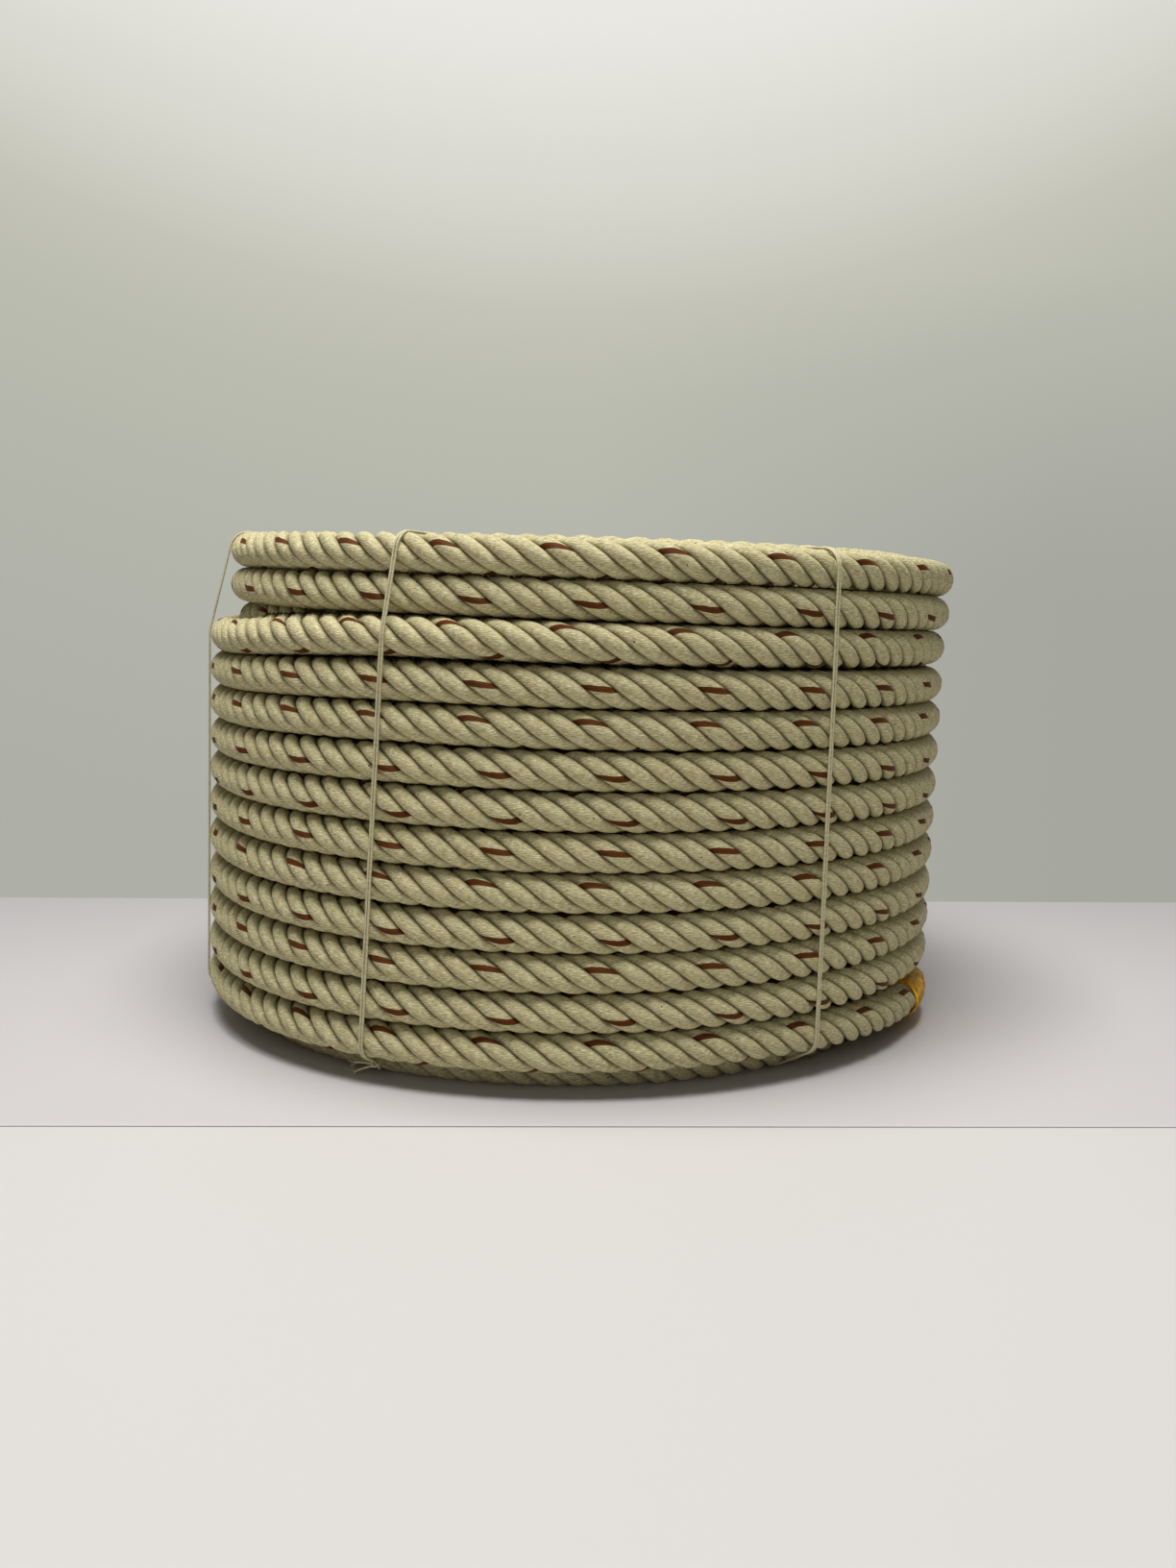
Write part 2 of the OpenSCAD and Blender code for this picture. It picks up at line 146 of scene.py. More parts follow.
def ring_mesh(name: str, rings: np.ndarray, maps: dict[str, Rows], caps: bool = True,
              sunk: np.ndarray | None = None) -> bpy.types.Object:
    """Makes one skin through a row of rings, with a flat cap on each end.

    Args:
        name: The piece's name.
        rings: Points as [ring, side, xyz]. Those below the table are lifted onto it.
        maps: UV maps by name.
        caps: False joins the last ring to the first.
        sunk: A value for each point, kept as the attribute SUNK.

    Returns:
        The mesh object, smooth-shaded, at the origin.
    """
    count, sides = rings.shape[:2]
    points = rings.reshape(-1, 3).copy()
    points[:, 2] = np.maximum(points[:, 2], 0.0)
    first = np.arange(count - caps)[:, None] * sides
    after = (first + sides) % (count * sides)
    k = np.arange(sides)
    nxt = np.roll(k, -1)
    quads = np.stack([first + k, after + k, after + nxt, first + nxt], axis=-1).reshape(-1, 4)
    a, b, c = (points[quads[:, i]] - points[0] for i in range(3))
    way = -1 if (a * np.cross(b, c)).sum() < 0 else 1
    # A cap faces away from the row of faces that it closes
    ends = [k[::way], (count - 1) * sides + k[::-way]] if caps else []
    mesh = bpy.data.meshes.new(name)
    mesh.from_pydata(points.tolist(), [], [*quads[:, ::way].tolist(), *(e.tolist() for e in ends)])
    mesh.polygons.foreach_set("use_smooth", [True] * len(quads) + [False] * len(ends))
    for title, (start, end) in maps.items():
        corners = np.stack([start[:, :-1], end[:, :-1], end[:, 1:], start[:, 1:]], axis=2)
        corners = corners.reshape(-1, 4, 2)[:, ::way]
        uv = [corners.reshape(-1, 2)]
        for n, cap in enumerate(ends):
            uv.append(cap_corners(points[cap], n, title, corners[0, 0]))
        layer = mesh.uv_layers.new(name=title)
        layer.data.foreach_set("uv", np.concatenate(uv).astype(np.float32).ravel())
    if sunk is not None:
        values = mesh.attributes.new(SUNK, "FLOAT", "POINT")
        values.data.foreach_set("value", sunk.astype(np.float32).ravel())
    mesh.validate()
    piece = bpy.data.objects.new(name, mesh)
    bpy.context.scene.collection.objects.link(piece)
    return piece


def cap_corners(points: np.ndarray, index: int, title: str, beside: np.ndarray) -> np.ndarray:
    """Lays a flat cap out in a UV map, in the bake map clear of the map's rows.

    Args:
        points: The cap's corners in space.
        index: 0 for the first cap and 1 for the second.
        title: The map's name.
        beside: Where the cap lies in any other map.

    Returns:
        The cap's corners in the map.
    """
    spokes = points - points.mean(axis=0)
    across = unit(spokes[0])
    normal = unit(np.cross(spokes[0], spokes[len(points) // 3]))
    flat = np.stack([spokes @ across, spokes @ np.cross(normal, across)], axis=-1)
    if title != BAKE_MAP:
        return flat + beside
    size = 0.02
    middle = np.array([size * (1.5 + 3 * index), 1 - size])
    return middle + flat / np.abs(flat).max() * size * 0.8


def rings_at(p: np.ndarray, out: np.ndarray, up: np.ndarray, r: np.ndarray,
             angle: np.ndarray) -> np.ndarray:
    """Sets rings of points round a line.

    Args:
        p: Points of the line.
        out: The direction of angle 0 at each of them.
        up: The direction a quarter turn on.
        r: Radii, a row for each ring.
        angle: Angles, a row for each ring or one for all.

    Returns:
        Points as [ring, side, xyz].
    """
    return (p[:, None] + (r * np.cos(angle))[..., None] * out[:, None]
            + (r * np.sin(angle))[..., None] * up[:, None])


def lay_map(s: np.ndarray, across: np.ndarray, closed: bool = False) -> dict[str, Rows]:
    """Makes the map that the yarns' patterns follow.

    Args:
        s: Metres along the yarns at each ring.
        across: Metres across them, for each ring or for all.
        closed: Whether the last ring is joined to the first.

    Returns:
        The map's corners under its name.
    """
    place = np.stack(np.broadcast_arrays(s[:, None], across), axis=-1)
    return {LAY_MAP: (place, np.roll(place, -1, axis=0)) if closed else (place[:-1], place[1:])}


def join(name: str, parts: Sequence[bpy.types.Object]) -> bpy.types.Object:
    """Joins several meshes into one piece.

    Args:
        name: The piece's name.
        parts: The meshes, of which the first takes the others in.

    Returns:
        The joined object.
    """
    bpy.ops.object.select_all(action="DESELECT")
    for part in parts:
        part.select_set(True)
    bpy.context.view_layer.objects.active = parts[0]
    bpy.ops.object.join()
    parts[0].name = parts[0].data.name = name
    parts[0].select_set(False)
    return parts[0]


def tube(name: str, line: np.ndarray, radius: np.ndarray | float, side: np.ndarray,
         twist: float = 1.0, ply_depth: float = 0.0, sides: int = 10) -> bpy.types.Object:
    """Sweeps a round or two-ply section along a line of points.

    Args:
        name: The piece's name.
        line: Points along the middle.
        radius: The section's mean radius, at each point or at all.
        side: A direction that the line never runs along, to set the section square by.
        twist: Length of one full twist of the two plies.
        ply_depth: How far the plies stand out, as a share of the radius. At 0 it is round.
        sides: Sides of the section.

    Returns:
        The tube, closed at both ends, with its length and girth in the lay map.
    """
    s = run(line)
    tangent = unit(np.gradient(line, axis=0))
    b = unit(np.cross(tangent, side))
    a = angles(sides)
    lobes = ply_depth * np.cos(2 * (a - TURN * s[:, None] / twist))
    r = np.broadcast_to(radius, s.shape)[:, None] * (1 + lobes)
    girth = np.append(a, TURN) * float(np.mean(radius))
    return ring_mesh(name, rings_at(line, np.cross(b, tangent), b, r, a), lay_map(s, girth))


# ---- The route ----------------------------------------------------------------------------------


@dataclass(frozen=True)
class Winding:
    """The rope's one route through both layers, which every piece on the coil follows."""

    rope_d: float = 0.016
    coil_r: float = 0.1726
    rows: int = 13
    row_gap: float = 0.00045
    layer_gap: float = 0.0012
    first_row_z: float = 0.0186
    loose_gap: float = 0.0014
    top_slide: float = 0.006
    top_tighten: float = 0.0035
    lean: float = 0.0055
    end_sag: float = 0.005
    end_length: float = 0.087
    clear: float = 0.0003
    twine_d: float = 0.001
    tape_r: float = 0.0092
    outer_end_az: float = 50.0
    inner_end_az: float = -130.0
    fan: tuple[float, float] = (-1.22, 0.83)
    loose_turns: tuple[float, float] = (2.8, 2.2)
    # Turns past the front of the top row, and how far the left of the coil lies low there
    left_drops: tuple[tuple[float, float], ...] = (
        (-6.75, 0.0), (-2.75, 0.0038), (-1.75, 0.0061), (-0.75, -0.001), (0.25, 0.0))
    left_sink: tuple[float, float] = (0.06, 0.21)
    left_rise: tuple[float, float] = (0.29, 0.44)
    sag_az: tuple[float, float] = (20.0, 80.0)
    crossing: tuple[float, float] = (12.42, 12.82)
    low_climb: tuple[float, float] = (0.68, 0.9)
    foot_turn: float = 0.12
    top_tilt: float = 1.3
    # Turns up the inner layer where a row strays: next to the top it nests outward and upward
    # between two outer rows, and above the foot turn it hangs low behind the outer end
    nested: tuple[float, float, float, float] = (8.88, 9.02, 9.19, 9.3)
    nested_by: tuple[float, float] = (0.0038, 0.0038)
    hung: tuple[float, float, float, float] = (1.3, 1.48, 1.6, 1.78)
    hung_by: float = 0.0108

    @property
    def outer_turns(self) -> int:
        """Turns from the lowest to the top outer row."""
        return self.rows - 1

    @property
    def pitch(self) -> float:
        """Height from one outer row to the next."""
        return self.rope_d + self.row_gap

    @property
    def inner_r(self) -> float:
        """Radius of the inner layer's middle."""
        return self.coil_r - self.rope_d - self.layer_gap

    @property
    def total_turns(self) -> float:
        """Turns of plain rope."""
        return 2 * self.rows - 3 + (self.outer_end_az - self.inner_end_az) / 360

    @property
    def top_z(self) -> float:
        """Height of the top row's middle at the front."""
        return self.first_row_z + self.outer_turns * self.pitch + self.loose_gap

    @property
    def floor_z(self) -> float:
        """Height of the bottom turn's middle, which lies on the ties' strings."""
        flat = math.cos(math.pi / 6)
        return self.twine_d * flat + 2 * self.clear + self.rope_d / 2 * flat

    def outer_z(self, w: np.ndarray) -> np.ndarray:
        """Height of the outer layer's middle.

        Args:
            w: Turns past the front of the lowest row.

        Returns:
            The heights.
        """
        fan = mix(*self.fan, np.clip(w / self.outer_turns, 0, 1))
        loose = [self.outer_turns - turns for turns in self.loose_turns]
        return (self.first_row_z + self.pitch * (w + fan * np.sin(TURN * w) / TURN)
                + self.loose_gap * ease(w, *loose) - self.left_drop(w)
                - self.end_sag * ease(-360 * w, *self.sag_az))

    def left_drop(self, w: np.ndarray) -> np.ndarray:
        """How far the outer layer lies below its even climb, which is on the left alone."""
        part = w - np.floor(w)
        side = ease(part, *self.left_sink) * (1 - ease(part, *self.left_rise))
        return np.interp(w - self.outer_turns, *zip(*self.left_drops)) * side

    def inner_z(self, v: np.ndarray, az: np.ndarray) -> np.ndarray:
        """Height of the inner layer's middle.

        Args:
            v: Turns up from its plain end.
            az: Azimuths there.

        Returns:
            The heights.
        """
        turns = self.total_turns - sum(self.crossing) / 2
        high = (turns - 1, turns - 0.72)
        taped = self.tape_r + self.clear
        climb = taped + self.tape_r + 2 * self.clear + self.rope_d / 2 - self.floor_z
        pitch = (self.top_z - self.floor_z - 2 * climb) / (high[0] - self.low_climb[1])
        z = (self.floor_z + climb * (ease(v, *self.low_climb) + ease(v, *high))
             + pitch * np.maximum(0, np.minimum(v, high[0]) - self.low_climb[1])
             + (taped - self.floor_z) * (1 - ease(v, 0, self.foot_turn)))
        rise = np.clip((z - self.floor_z) / (self.top_z - self.floor_z), 0, 1)
        tilt = self.inner_r * np.sin(np.radians(az)) * math.tan(math.radians(self.top_tilt))
        return z - tilt * rise

    def slid(self, z: np.ndarray) -> np.ndarray:
        """Share of the top rows' slide that a height has."""
        high = self.top_z - self.pitch
        return ease(z, high - 0.7 * self.pitch, high)

    def shift_x(self, z: np.ndarray) -> np.ndarray:
        """How far the coil has shifted towards +X at a height."""
        return self.top_slide * self.slid(z) + self.lean * (z / self.top_z - 0.5)

    def azimuth(self, t: np.ndarray) -> np.ndarray:
        """Azimuth of the rope at t turns."""
        return self.outer_end_az - 360 * t

    def within(self, t: np.ndarray, span: Sequence[float]) -> np.ndarray:
        """Share from 0 to 1 of a stray between turns up the inner layer, with eased ends."""
        v = self.total_turns - t
        return ease(v, *span[:2]) * (1 - ease(v, *span[2:]))

    def middle(self, t: np.ndarray) -> np.ndarray:
        """Points of the rope's middle, on the outer layer, across the top and down the inner one.

        Args:
            t: Turns from the plain rope's outer end.

        Returns:
            The points.
        """
        across = ease(t, *self.crossing)
        az = self.azimuth(t)
        outer_z = self.outer_z(t - self.outer_end_az / 360)
        z = mix(outer_z, self.inner_z(self.total_turns - t, az), across)
        r = mix(self.coil_r, self.inner_r, across) - self.top_tighten * self.slid(z)
        shift = self.shift_x(z)
        nested = self.within(t, self.nested)
        r = r + self.nested_by[0] * nested
        z = z + self.nested_by[1] * nested - self.hung_by * self.within(t, self.hung)
        aside = shift[..., None] * np.array([1.0, 0, 0])
        return r[..., None] * outward(az) + aside + z[..., None] * UP

    def gap_beside(self, t: np.ndarray, turns: int) -> np.ndarray:
        """Height from an outer row to the one above or below it.

        Args:
            t: Turns from the plain rope's outer end.
            turns: 1 for the row above and -1 for the row below.

        Returns:
            The heights, which are far where there is no such row.
        """
        beside = t + turns
        there = (beside > self.cut_turns(End.OUTER)) & (beside < self.crossing[0])
        return np.where(there, turns * (self.middle(beside)[..., 2] - self.middle(t)[..., 2]), 1.0)

    def cut_turns(self, end: End) -> float:
        """Turns at which a cut end lies.

        Args:
            end: Which end.

        Returns:
            Turns from the plain rope's outer end.
        """
        if end is End.OUTER:
            return -self.end_length / (TURN * self.coil_r)
        return self.total_turns + self.end_length / (TURN * self.inner_r)


class Line:
    """The route measured along the rope, with a square frame at every place."""

    def __init__(self, winding: Winding, samples: int = 60000) -> None:
        """Samples the route.

        Args:
            winding: The route.
            samples: How many places it is sampled at.
        """
        self.winding = winding
        self.t = np.linspace(*map(winding.cut_turns, End), samples)
        self.points = winding.middle(self.t)
        self.s = run(self.points)
        self.tangents = unit(np.gradient(self.points, axis=0))

    @property
    def length(self) -> float:
        """The whole rope's length."""
        return float(self.s[-1])

    def at(self, s: np.ndarray) -> tuple[np.ndarray, np.ndarray, np.ndarray, np.ndarray]:
        """Points along the rope and their frames.

        Args:
            s: Metres from the outer cut end.

        Returns:
            Points, tangents, directions away from the axis and directions up, square to each other.
        """
        p, tangent = (np.stack([np.interp(s, self.s, values[:, i]) for i in range(3)], axis=-1)
                      for values in (self.points, self.tangents))
        tangent = unit(tangent)
        out = outward(self.winding.azimuth(self.turns(s)))
        out = unit(out - np.sum(out * tangent, axis=-1, keepdims=True) * tangent)
        return p, tangent, out, np.cross(tangent, out)

    def place(self, t: np.ndarray | float) -> np.ndarray:
        """Metres from the outer cut end at t turns."""
        return np.interp(t, self.t, self.s)

    def turns(self, s: np.ndarray) -> np.ndarray:
        """Turns at s metres from the outer cut end."""
        return np.interp(s, self.s, self.t)


# ---- Finishes -----------------------------------------------------------------------------------


def add(tree: Tree, kind: str, links: dict[str | int, Socket | float | Sequence[float]],
        out: str | int = 0, **settings: str) -> Socket:
    """Adds a node with its settings and links.

    Args:
        tree: The node tree.
        kind: The shader node's type.
        links: Input names or numbers, each with the socket that feeds it or its plain value.
        out: The output that is wanted.
        **settings: Properties of the node.

    Returns:
        That output.
    """
    node = tree.nodes.new(f"ShaderNode{kind}")
    for name, value in settings.items():
        setattr(node, name, value)
    for key, value in links.items():
        if isinstance(value, Socket):
            tree.links.new(value, node.inputs[key])
        else:
            node.inputs[key].default_value = value
    return node.outputs[out]


def total(tree: Tree, start: float, *terms: tuple[Socket, float]) -> Socket:
    """Adds values up.

    Args:
        tree: The node tree.
        start: What the sum starts from.
        *terms: Values, each with its weight.

    Returns:
        The sum.
    """
    value: Socket | float = start
    for term, weight in terms:
        value = add(tree, "Math", {0: term, 1: weight, 2: value}, operation="MULTIPLY_ADD")
    return value


def tones(tree: Tree, value: Socket, stops: Sequence[tuple[float, str | float]]) -> Socket:
    """Blends between tones that are each set at a value.

    Args:
        tree: The node tree.
        value: The value that picks the tone.
        stops: Values in rising order, each with its sRGB hex colour or its linear grey.

    Returns:
        The tone.
    """
    low, high = stops[0][0], stops[-1][0]
    share = add(tree, "MapRange", {"Value": value, "From Min": low, "From Max": high})
    picked = add(tree, "ValToRGB", {0: share})
    ramp = picked.node.color_ramp.elements
    ramp[0].color, ramp[1].color = linear(stops[0][1]), linear(stops[-1][1])
    for at, tone in stops[1:-1]:
        ramp.new((at - low) / (high - low)).color = linear(tone)
    return picked


@dataclass(frozen=True)
class Finish:
    """A finish on the Principled shader, to which each kind adds its own pattern."""

    name: str
    roughness: float
    gloss: float
    # Strength and height of the relief
    relief: tuple[float, float] = (0.0, 0.0)

    def pattern(self, tree: Tree) -> tuple[Socket, Socket | None]:
        """Adds the nodes for the colour and for the height of the relief, and returns both."""
        raise NotImplementedError

    def make(self) -> bpy.types.Material:
        """Makes the material.

        Returns:
            The material, with its colour and relief linked to the shader.
        """
        material = bpy.data.materials.new(self.name)
        material.use_nodes = True
        tree = material.node_tree
        shader = tree.nodes["Principled BSDF"].inputs
        shader["Roughness"].default_value = self.roughness
        shader["Specular IOR Level"].default_value = self.gloss
        colour, height = self.pattern(tree)
        tree.links.new(colour, shader["Base Color"])
        if height:
            strength, distance = self.relief
            bump = add(tree, "Bump", {"Height": height, "Strength": strength, "Distance": distance})
            tree.links.new(bump, shader["Normal"])
        return material


@dataclass(frozen=True)
class SpunFibre(Finish):
    """Spun polyester staple, laid in fine yarns: matt, with short bright streaks along them, partly
    the yarns' uneven tone and partly painted glints of the fibres' sheen.
    """

    name: str = "spun_polyester_strand"
    roughness: float = 0.52
    gloss: float = 0.08
    relief: tuple[float, float] = (0.7, 0.00025)
    # The fibres' uneven tones; the palest stands in for glints of their sheen, a painted highlight
    fibres: tuple[tuple[float, str], ...] = ((0.24, "#9b9066"), (0.5, "#c2b888"), (0.82, "#ede6c6"))
    # Painted shade: the dark tone put into the grooves and between the rows
    painted_shade: str = "#3c2f11"
    # Share of painted shade by depth, as SUNK counts it: darkness painted into the grooves between
    # the strands, and most between the rows, where shade falls.
    painted_shade_shares: tuple[tuple[float, float], ...] = ((0.72, 0.0), (1.0, 0.54), (1.6, 0.97))
    husk: str = "#4a3a20"
    husk_spacing: float = 0.007
    # Share of the cells that hold a bit of husk, and its largest radius as a share of a cell
    husk_share: float = 0.2
    husk_size: float = 0.05
    marked: bool = False
    marker: str = "#5e3210"
    # Painted shade on the marker yarn, at its sides and along its middle
    marker_painted_shade: str = "#3a1d0a"
    marker_width: float = 0.0026
    marker_spacing: float = 0.01563
    # Shares of the marker's spacing: where it starts, how far it wavers, and half its edge's blur
    marker_start: float = 0.49
    marker_waver: float = 0.02
    marker_edge: float = 0.004
    # Shares of its half width where the painted shade of the parting along its middle ends, and
    # where its side begins to dip into painted shade
    marker_round: tuple[float, float] = (0.16, 0.8)
    # Real yarns are 0.57 mm apart. They are drawn a little coarser, so that they show.
    yarn_width: float = 0.00066
    # Length and width of flecks of fibre, of single fibres and of uneven stretches of yarn
    fleck: tuple[float, float] = (0.0026, 0.00038)
    fibre: tuple[float, float] = (0.0012, 0.00022)
    blotch: tuple[float, float] = (0.016, 0.005)
    # Yarns' widths by which the yarns wander with the blotches and the flecks
    wander: tuple[float, float] = (1.4, 0.35)
    # Weights of flecks, fibres, blotches and yarns in the colour, and of flecks, yarns and fibres
    # in the relief. In the colour the flecks carry painted glints, and the yarns paint shade
    # between the yarns.
    shares: tuple[float, ...] = (0.8, 0.5, 0.12, 0.07)
    darken: float = -0.2
    heights: tuple[float, ...] = (0.8, 0.3, 0.3)

    def pattern(self, tree: Tree) -> tuple[Socket, Socket]:
        """Adds yarns and fibres, bits of husk, the marker yarn where it is marked, and painted
        shade in the grooves and between the rows.

        Args:
            tree: The material's nodes.

        Returns:
            The colour, and the height of the yarns and fibres.
        """
        place = add(tree, "UVMap", {}, uv_map=LAY_MAP)
        fleck, fibre, blotch = (
            self.streaks(tree, place, *grain) for grain in (self.fleck, self.fibre, self.blotch))
        across = add(tree, "SeparateXYZ", {0: place}, out=1)
        yarns = total(tree, 0.0, (across, 1 / self.yarn_width), *zip((blotch, fleck), self.wander))
        turn = add(tree, "Math", {0: yarns, 1: TURN}, operation="MULTIPLY")
        ridge = add(tree, "Math", {0: turn}, operation="COSINE")
        # Painted light in the colour: pale flecks as glints, and the yarns' ridge as shade between
        # the yarns
        level = total(tree, self.darken, *zip((fleck, fibre, blotch, ridge), self.shares))
        colour = self.with_husk(tree, tones(tree, level, self.fibres), place)
        if self.marked:
            colour = self.with_marker(tree, colour, across, fleck)
        # Painted shade: darker in the grooves, and most where rows press together, as SUNK grows
        sunk = add(tree, "Attribute", {}, out="Fac", attribute_name=SUNK)
        share = tones(tree, sunk, self.painted_shade_shares)
        with_shade = add(tree, "Mix", {0: share, 6: colour, 7: linear(self.painted_shade)}, out=2,
                     data_type="RGBA")
        return with_shade, total(tree, 0.0, *zip((fleck, ridge, fibre), self.heights))

    @staticmethod
    def streaks(tree: Tree, place: Socket, length: float, width: float) -> Socket:
        """Adds a noise that is drawn out along the yarns.

        Args:
            tree: The material's nodes.
            place: Place along and across the yarns.
            length: Its grain along the yarns.
            width: Its grain across them.

        Returns:
            The noise.
        """
        at = add(tree, "VectorMath", {0: place, 1: (1 / length, 1 / width, 1.0)},
                 operation="MULTIPLY")
        return add(tree, "TexNoise", {"Vector": at, "Scale": 1.0, "Detail": 1.0},
                   noise_dimensions="2D")

    def with_husk(self, tree: Tree, colour: Socket, place: Socket) -> Socket:
        """Puts in the few dark bits of husk that spinning leaves.

        Args:
            tree: The material's nodes.
            colour: The strand's colour.
            place: Place along and across the yarns.

        Returns:
            The colour with the husk.
        """
        cells = add(tree, "TexVoronoi", {"Vector": place, "Scale": 1 / self.husk_spacing},
                    out="Distance", voronoi_dimensions="2D")
        chosen = add(tree, "SeparateColor", {0: cells.node.outputs["Color"]})
        size = add(tree, "MapRange", {
            "Value": chosen, "From Min": 1 - self.husk_share, "To Max": self.husk_size})
        bit = add(tree, "Math", {0: cells, 1: size}, operation="LESS_THAN")
        return add(tree, "Mix", {0: bit, 6: colour, 7: linear(self.husk)}, out=2, data_type="RGBA")

    def with_marker(self, tree: Tree, colour: Socket, across: Socket, fleck: Socket) -> Socket:
        """Colours the one marker yarn, which comes to the surface at even spacing, with painted
        shade at its sides and along its middle.

        Args:
            tree: The material's nodes.
            colour: The plain strand's colour.
            across: Place across the yarns.
            fleck: The fibre pattern, which the yarn's edge follows a little.

        Returns:
            The strand's colour with the marker.
        """
        wavy = total(tree, self.marker_start, (across, 1 / self.marker_spacing),
                     (fleck, self.marker_waver))
        part = add(tree, "Math", {0: wavy}, operation="FRACT")
        off = add(tree, "Math", {0: part, 1: 0.5}, operation="SUBTRACT")
        off = add(tree, "Math", {0: off}, operation="ABSOLUTE")
        half = self.marker_width / 2 / self.marker_spacing
        # The yarn is round: shade is painted where it dips at its sides, and in a parting along its
        # middle
        lit = ((share * half, self.marker) for share in self.marker_round)
        tint = tones(tree, off, ((0.0, self.marker_painted_shade), *lit, (half, self.marker_painted_shade)))
        mask = add(tree, "MapRange", {"Value": off, "From Min": half + self.marker_edge,
                                      "From Max": half - self.marker_edge})
        return add(tree, "Mix", {0: mask, 6: colour, 7: tint}, out=2, data_type="RGBA")


@dataclass(frozen=True)
class TwistedTwine(Finish):
    """Two-ply polypropylene twine: cream, a little glossy, with fine slanting fibres."""

    name: str = "twisted_twine"
    roughness: float = 0.5
    gloss: float = 0.4
    relief: tuple[float, float] = (0.5, 0.0001)
    fibres: tuple[tuple[float, str], ...] = ((0.3, "#a9a079"), (0.65, "#ddd6ae"))
    fibre: tuple[float, float] = (0.0012, 0.0002)
    slant: float = 0.5

    def pattern(self, tree: Tree) -> tuple[Socket, Socket]:
        """Adds the slanting fibres.

        Args:
            tree: The material's nodes.

        Returns:
            The colour, and the height of the fibres.
        """
        place = add(tree, "UVMap", {}, uv_map=LAY_MAP)
        length, width = self.fibre
        slanted = add(tree, "Mapping", {"Vector": place, "Rotation": (0.0, 0.0, self.slant),
                                        "Scale": (1 / length, 1 / width, 1.0)})
        fibre = add(tree, "TexNoise", {"Vector": slanted, "Scale": 1.0, "Detail": 2.0},
                    noise_dimensions="2D")
        return tones(tree, fibre, self.fibres), fibre


@dataclass(frozen=True)
class AmberFilm(Finish):
    """Thin amber adhesive film, shrunk on by hand: satin, creased, darker where it is doubled."""

    name: str = "amber_adhesive_film"
    roughness: float = 0.35
    gloss: float = 0.04
    relief: tuple[float, float] = (0.8, 0.0005)
    film: tuple[tuple[float, str], ...] = ((0.4, "#955908"), (0.54, "#e2a212"), (0.72, "#fad838"))
    yarn: str = "#6b2e08"
    yarn_spacing: float = 0.008
    # Where a spot of yarn fades and where it is whole, as shares of its cell, and how much it shows
    yarn_spot: tuple[float, float] = (0.16, 0.1)
    yarn_share: float = 0.85
    crease: float = 0.0016
    patch: float = 0.005
    # Weights of patches and creases in the colour
    shares: tuple[float, float] = (0.6, 0.5)

    def pattern(self, tree: Tree) -> tuple[Socket, Socket]:
        """Adds creases, thicker patches and spots of the marker yarn that show through.

        Args:
            tree: The material's nodes.

        Returns:
            The colour, and the height of the creases.
        """
        place = add(tree, "TexCoord", {}, out="Object")
        fold = add(tree, "TexNoise", {
            "Vector": place, "Scale": 1 / self.crease, "Detail": 3.0, "Distortion": 0.6})
        patch = add(tree, "TexNoise", {"Vector": place, "Scale": 1 / self.patch, "Detail": 1.0})
        film = tones(tree, total(tree, 0.0, *zip((patch, fold), self.shares)), self.film)
        cell = add(tree, "TexVoronoi", {"Vector": place, "Scale": 1 / self.yarn_spacing},
                   out="Distance")
        spot = add(tree, "MapRange", {
            "Value": cell, "From Min": self.yarn_spot[0], "From Max": self.yarn_spot[1],
            "To Max": self.yarn_share})
        spotted = add(tree, "Mix", {0: spot, 6: film, 7: linear(self.yarn)}, out=2,
                      data_type="RGBA")
        return spotted, fold


@dataclass(frozen=True)
class Laminate(Finish):
    """Pale table laminate, satin, in two boards that meet in a dark joint in front of the coil,
    each painted darker towards the back as shade.
    """

    name: str = "table_laminate"
    roughness: float = 0.55
    gloss: float = 0.3
    # Each tone is at a place along Y. The front board is paler than the back one; within each, the
    # tones darken towards the back, which is painted shade.
    boards: tuple[tuple[float, str], ...] = (
        (-1.2, "#d4d1cd"), (-0.2064, "#cfccc8"), (-0.2062, "#c7c3c3"), (0.0, "#c6c2c2"),
        (0.227, "#bcb9b9"))
    joint: str = "#77757a"
    joint_y: float = -0.2062
    joint_half: float = 0.0006

    def pattern(self, tree: Tree) -> tuple[Socket, None]:
        """Adds the boards' tones, with painted shade towards the back, and their joint.

        Args:
            tree: The material's nodes.

        Returns:
            The colour, and no relief.
        """
        place = add(tree, "TexCoord", {}, out="Object")
        along = add(tree, "SeparateXYZ", {0: place}, out=1)
        joint = add(tree, "Math", {0: along, 1: self.joint_y, 2: self.joint_half},
                    operation="COMPARE")
        # The boards' own tones, with painted shade darkening them towards the back
        boards = tones(tree, along, self.boards)
        return add(tree, "Mix", {0: joint, 6: boards, 7: linear(self.joint)}, out=2,
                   data_type="RGBA"), None


# ---- Pieces -------------------------------------------------------------------------------------


def hand_over(piece: bpy.types.Object, finish: bpy.types.Material, slot: str, *nodes: str) -> None:
    """Gives a finished piece its material and its body, and hides the CAD nodes that it stands for.

    Args:
        piece: The finished piece.
        finish: Its material.
        slot: The record's material slot. It is not used.
        *nodes: The CAD nodes that it replaces.
    """
    piece.data.materials.clear()
    piece.data.materials.append(finish)
    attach(piece, "root")
    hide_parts(*nodes)
    LOG.info("%s: %d faces", piece.name, len(piece.data.polygons))


